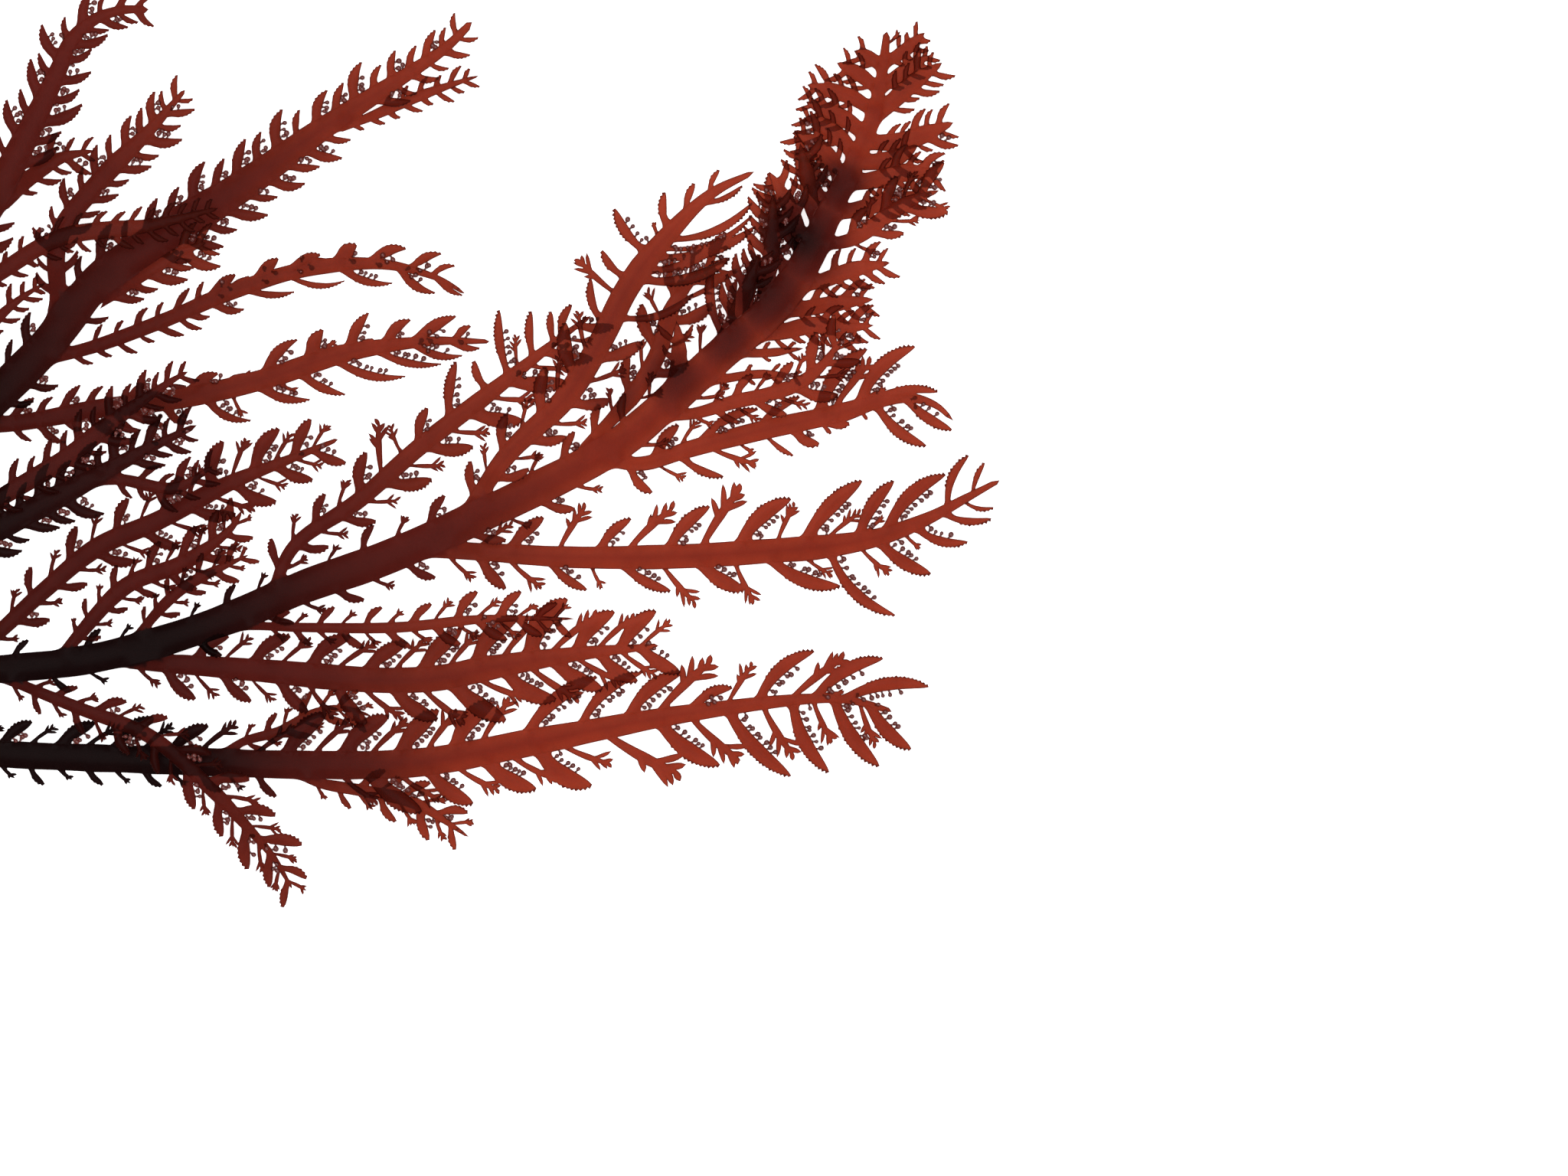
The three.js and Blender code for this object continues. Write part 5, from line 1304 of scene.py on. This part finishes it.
def mottle_group():
    """Uneven colour of living tissue: soft clouds and a fine grain of cells, as a colour and a height."""
    if "Tissue mottle" in bpy.data.node_groups:
        return bpy.data.node_groups["Tissue mottle"]
    tree, ins, outs = new_group("Tissue mottle", [
        ("Color", "NodeSocketColor", MOTTLE_COLOUR),
        ("Cloud Scale", "NodeSocketFloat", CLOUD_SCALE),
        ("Cell Scale", "NodeSocketFloat", CELL_SCALE),
        ("Depth", "NodeSocketFloat", MOTTLE_DEPTH),
    ], [("Color", "NodeSocketColor"), ("Height", "NodeSocketFloat")])
    nodes, links = tree.nodes, tree.links
    place = nodes.new("ShaderNodeTexCoord")
    clouds = nodes.new("ShaderNodeTexNoise")
    cells = nodes.new("ShaderNodeTexNoise")
    clouds.inputs["Detail"].default_value = CLOUD_DETAIL
    cells.inputs["Detail"].default_value = CELL_DETAIL
    for texture, scale in ((clouds, "Cloud Scale"), (cells, "Cell Scale")):
        links.new(place.outputs["Object"], texture.inputs["Vector"])
        links.new(ins.outputs[scale], texture.inputs["Scale"])
    both = nodes.new("ShaderNodeMath")
    both.operation = "ADD"
    links.new(clouds.outputs["Fac"], both.inputs[0])
    links.new(cells.outputs["Fac"], both.inputs[1])
    spread = nodes.new("ShaderNodeMath")
    spread.operation = "MULTIPLY_ADD"
    links.new(both.outputs[0], spread.inputs[0])
    links.new(ins.outputs["Depth"], spread.inputs[1])
    offset = nodes.new("ShaderNodeMath")
    offset.operation = "SUBTRACT"
    offset.inputs[0].default_value = 1.0
    links.new(ins.outputs["Depth"], offset.inputs[1])
    links.new(offset.outputs[0], spread.inputs[2])
    shade = nodes.new("ShaderNodeVectorMath")
    shade.operation = "SCALE"
    links.new(ins.outputs["Color"], shade.inputs[0])
    links.new(spread.outputs[0], shade.inputs["Scale"])
    links.new(shade.outputs[0], outs.inputs["Color"])
    links.new(cells.outputs["Fac"], outs.inputs["Height"])
    return tree


def colour_mix(nodes, links, share, a, b):
    """A mix of two colours, each a socket or a colour of its own, by a share."""
    mix = nodes.new("ShaderNodeMix")
    mix.data_type = "RGBA"
    links.new(share, mix.inputs[0])
    for number, value in zip(MIX_COLOURS, (a, b)):
        socket = mix.inputs[number]
        if isinstance(value, bpy.types.NodeSocket):
            links.new(value, socket)
        else:
            socket.default_value = (*value, 1)
    return mix.outputs[MIX_RESULT]


def ranged(nodes, links, value, span, to_low=0.0, to_high=1.0):
    """A value brought smoothly from a span to the span between two others."""
    node = nodes.new("ShaderNodeMapRange")
    node.interpolation_type = "SMOOTHSTEP"
    set_sockets(node, {"From Min": span[0], "From Max": span[1], "To Min": to_low, "To Max": to_high})
    links.new(value, node.inputs["Value"])
    return node.outputs["Result"]


def attribute(nodes, label):
    node = nodes.new("ShaderNodeAttribute")
    node.attribute_name = label
    return node.outputs["Fac"]


def new_material(name, finish):
    """A material, its nodes, links and shader, with the values that are the same all over it."""
    material = bpy.data.materials.new(name)
    material.use_nodes = True
    shader = material.node_tree.nodes["Principled BSDF"]
    set_sockets(shader, finish)
    return material, material.node_tree.nodes, material.node_tree.links, shader


def add_mottle(nodes, values):
    mottle = nodes.new("ShaderNodeGroup")
    mottle.node_tree = mottle_group()
    set_sockets(mottle, values)
    return mottle


def add_bump(nodes, links, height, shader, values):
    bump = nodes.new("ShaderNodeBump")
    set_sockets(bump, values)
    links.new(height, bump.inputs["Height"])
    links.new(bump.outputs["Normal"], shader.inputs["Normal"])


def tissue_material():
    """Translucent red tissue: brighter leaflets, darker broad axes, margins darkened by painted shade of
    refraction, near-black old parts partly darkened by painted shade, and painted shade patches where
    layers overlap.
    """
    if "frond_tissue" in bpy.data.materials:
        return bpy.data.materials["frond_tissue"]
    colours = bpy.context.scene.spray_colours
    material, nodes, links, shader = new_material("frond_tissue", TISSUE_FINISH)
    inset = attribute(nodes, "inset")
    age_and_shade = attribute(nodes, "age_and_shade")
    broad = ranged(nodes, links, inset, BROAD_SPAN)
    # painted shade along the margins, standing in for the dark rim that refraction gives thin edges
    rim = ranged(nodes, links, inset, (0.0, RIM * EDGE_SHADE_DEPTH), EDGE_SHADE_STRENGTH, 0.0)
    colour = colour_mix(nodes, links, broad, colours.leaflet, colours.axis)
    colour = colour_mix(nodes, links, rim, colour, colours.margin)
    # darker with age, and with painted shade near the stem and in the overlap patches
    deep = ranged(nodes, links, age_and_shade, DEEP_AGE_AND_SHADE)
    old = ranged(nodes, links, age_and_shade, OLD_AGE_AND_SHADE)
    colour = colour_mix(nodes, links, deep, colour, colours.deep)
    colour = colour_mix(nodes, links, old, colour, colours.old)
    mottle = add_mottle(nodes, {})
    links.new(colour, mottle.inputs["Color"])
    links.new(mottle.outputs["Color"], shader.inputs["Base Color"])
    add_bump(nodes, links, mottle.outputs["Height"], shader, TISSUE_BUMP)
    return material


def bead_material():
    """Dark, opaque beads with a soft shine, on stalks of the margins' colour."""
    if "bead_tissue" in bpy.data.materials:
        return bpy.data.materials["bead_tissue"]
    colours = bpy.context.scene.spray_colours
    material, nodes, links, shader = new_material("bead_tissue", BEAD_FINISH)
    mottle = add_mottle(nodes, BEAD_MOTTLE)
    head = attribute(nodes, "head")
    links.new(colour_mix(nodes, links, head, colours.margin, colours.bead), mottle.inputs["Color"])
    links.new(mottle.outputs["Color"], shader.inputs["Base Color"])
    return material


def old_material():
    """Leathery dark maroon bark of the old stem."""
    colours = bpy.context.scene.spray_colours
    material, nodes, links, shader = new_material("old_stem_bark", BARK_FINISH)
    mottle = add_mottle(nodes, {"Color": (*colours.stem, 1), **BARK_MOTTLE})
    links.new(mottle.outputs["Color"], shader.inputs["Base Color"])
    add_bump(nodes, links, mottle.outputs["Height"], shader, BARK_BUMP)
    return material


def table_material():
    """The pale table, with a glow of its own that keeps shadows on it faint."""
    colours = bpy.context.scene.spray_colours
    finish = {"Base Color": (*colours.table, 1), **TABLE_FINISH}
    return new_material("pale_table", finish)[0]


def bark_squeeze(x, y, z, a):
    """How far the bark comes in or out at a place by its knots, and by grooves that run along it."""
    knot = 1 + KNOT_DEPTH * noise.noise(Vector((x * KNOT_RATES[0], y * KNOT_RATES[1], z * KNOT_RATES[1])))
    wander = GROOVE_WANDER * noise.noise(Vector((x * GROOVE_RATE, a, 0)))
    groove = 1 - GROOVE_DEPTH * (1 + math.cos(a * GROOVES + wander))
    return knot * groove


def build_stem():
    """The old stem: a gnarled, flattened stalk, cut across at its left end, flat where it lies."""
    low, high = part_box("old_stem")
    low, high = Vector(low) / MM, Vector(high) / MM
    mid_y, mid_z = (low.y + high.y) / 2, (low.z + high.z) / 2
    vertices = []
    for ring in range(STEM_RINGS):
        u = ring / (STEM_RINGS - 1)
        x = lerp(low.x, high.x, u)
        end = min(1, (1 - abs(2 * u - 1)) * STEM_END_RATE) ** 0.5
        belly = lerp(STEM_BELLY, 1, math.sin(math.pi * u) ** 0.5)
        half_y = (high.y - low.y) / 2 * belly * lerp(STEM_END_WIDTH, 1, end)
        half_z = (high.z - low.z) / 2 * lerp(STEM_END_HEIGHT, 1, end)
        for k in range(STEM_SIDES):
            a = 2 * math.pi * k / STEM_SIDES
            c, s = math.cos(a), math.sin(a)
            y = math.copysign(abs(c) ** STEM_SQUARENESS, c)
            z = math.copysign(abs(s) ** STEM_SQUARENESS, s)
            squeeze = bark_squeeze(x, y, z, a)
            lifted = max(0.0, mid_z + z * half_z * min(1, squeeze))
            vertices.append((x, mid_y + y * half_y * squeeze, lifted))
    vertices += [(low.x, mid_y, mid_z), (high.x, mid_y, mid_z)]
    stem = mesh_object("old_stem_bark", vertices, round_rings(STEM_RINGS, STEM_SIDES), {}, old_material())
    return dress(stem, "old_stem")


class SEAWEED_OT_stem(bpy.types.Operator):
    """Build the gnarled old stem that bears the fronds"""

    bl_idname = "seaweed.stem"
    bl_label = "Old stem"

    def execute(self, context):
        build_stem()
        return {"FINISHED"}


class SEAWEED_OT_lower_frond(bpy.types.Operator):
    """Build the lower frond and its beads"""

    bl_idname = "seaweed.lower_frond"
    bl_label = "Lower frond"

    def execute(self, context):
        build_frond("lower_frond")
        return {"FINISHED"}


class SEAWEED_OT_central_frond(bpy.types.Operator):
    """Build the broad central frond and its beads"""

    bl_idname = "seaweed.central_frond"
    bl_label = "Central frond"

    def execute(self, context):
        build_frond("central_frond")
        return {"FINISHED"}


class SEAWEED_OT_middle_frond(bpy.types.Operator):
    """Build the short middle frond and its beads"""

    bl_idname = "seaweed.middle_frond"
    bl_label = "Middle frond"

    def execute(self, context):
        build_frond("middle_frond")
        return {"FINISHED"}


class SEAWEED_OT_upper_frond(bpy.types.Operator):
    """Build the long upper frond and its beads"""

    bl_idname = "seaweed.upper_frond"
    bl_label = "Upper frond"

    def execute(self, context):
        build_frond("upper_frond")
        return {"FINISHED"}


class SEAWEED_OT_crest_frond(bpy.types.Operator):
    """Build the frond at the left edge and its beads"""

    bl_idname = "seaweed.crest_frond"
    bl_label = "Crest frond"

    def execute(self, context):
        build_frond("crest_frond")
        return {"FINISHED"}


def soft_light(name, target, place, size, power):
    """A square light that faces a target."""
    light = bpy.data.lights.new(name, "AREA")
    light.size = size
    light.energy = power
    lamp = bpy.data.objects.new(name, light)
    lamp.location = place
    lamp.rotation_mode = "QUATERNION"
    lamp.rotation_quaternion = (Vector(target) - Vector(place)).to_track_quat("-Z", "Y")
    bpy.context.collection.objects.link(lamp)


class SEAWEED_OT_stage(bpy.types.Operator):
    """Set the pale table, the soft lights and the camera that looks straight down"""

    bl_idname = "seaweed.stage"
    bl_label = "Stage"

    def execute(self, context):
        scene = context.scene
        bpy.ops.mesh.primitive_plane_add(size=TABLE_SIZE, location=TABLE_PLACE)
        table = context.object
        table.name = "table"
        table.data.materials.append(table_material())
        middle = (VIEW_CENTRE[0] * MM, VIEW_CENTRE[1] * MM, 0)
        soft_light("overhead_softbox", middle, **OVERHEAD_LIGHT)
        soft_light("side_softbox", middle, **SIDE_LIGHT)
        world = bpy.data.worlds.new("studio")
        world.use_nodes = True
        set_sockets(world.node_tree.nodes["Background"], WORLD_GLOW)
        scene.world = world
        camera = bpy.data.cameras.new("camera")
        camera.lens = LENS
        camera.sensor_width = SENSOR
        rig = bpy.data.objects.new("camera", camera)
        rig.location = (middle[0], middle[1], VIEW_WIDTH * MM * LENS / SENSOR)
        context.collection.objects.link(rig)
        scene.camera = rig
        scene.view_settings.view_transform = "Standard"
        return {"FINISHED"}


class SEAWEED_PT_panel(bpy.types.Panel):
    """Lists the pieces of the spray and its sizes and colours"""

    bl_idname = "SEAWEED_PT_panel"
    bl_label = "Seaweed spray"
    bl_space_type = "VIEW_3D"
    bl_region_type = "UI"
    bl_category = "Seaweed"

    def draw(self, context):
        for label in SpraySizes.__annotations__:
            self.layout.prop(context.scene.spray_sizes, label)
        for label in SprayColours.__annotations__:
            self.layout.prop(context.scene.spray_colours, label)
        for operator in OPERATORS:
            self.layout.operator(operator.bl_idname)


OPERATORS = (SEAWEED_OT_stem, SEAWEED_OT_lower_frond, SEAWEED_OT_central_frond, SEAWEED_OT_middle_frond,
             SEAWEED_OT_upper_frond, SEAWEED_OT_crest_frond, SEAWEED_OT_stage)
CLASSES = (SpraySizes, SprayColours, *OPERATORS, SEAWEED_PT_panel)


def register():
    for each in CLASSES:
        bpy.utils.register_class(each)
    bpy.types.Scene.spray_sizes = bpy.props.PointerProperty(type=SpraySizes)
    bpy.types.Scene.spray_colours = bpy.props.PointerProperty(type=SprayColours)


def unregister():
    del bpy.types.Scene.spray_sizes
    del bpy.types.Scene.spray_colours
    for each in reversed(CLASSES):
        bpy.utils.unregister_class(each)


def main():
    register()
    bpy.ops.seaweed.stem()
    bpy.ops.seaweed.lower_frond()
    bpy.ops.seaweed.central_frond()
    bpy.ops.seaweed.middle_frond()
    bpy.ops.seaweed.upper_frond()
    bpy.ops.seaweed.crest_frond()
    bpy.ops.seaweed.stage()


if __name__ == "__main__":
    main()
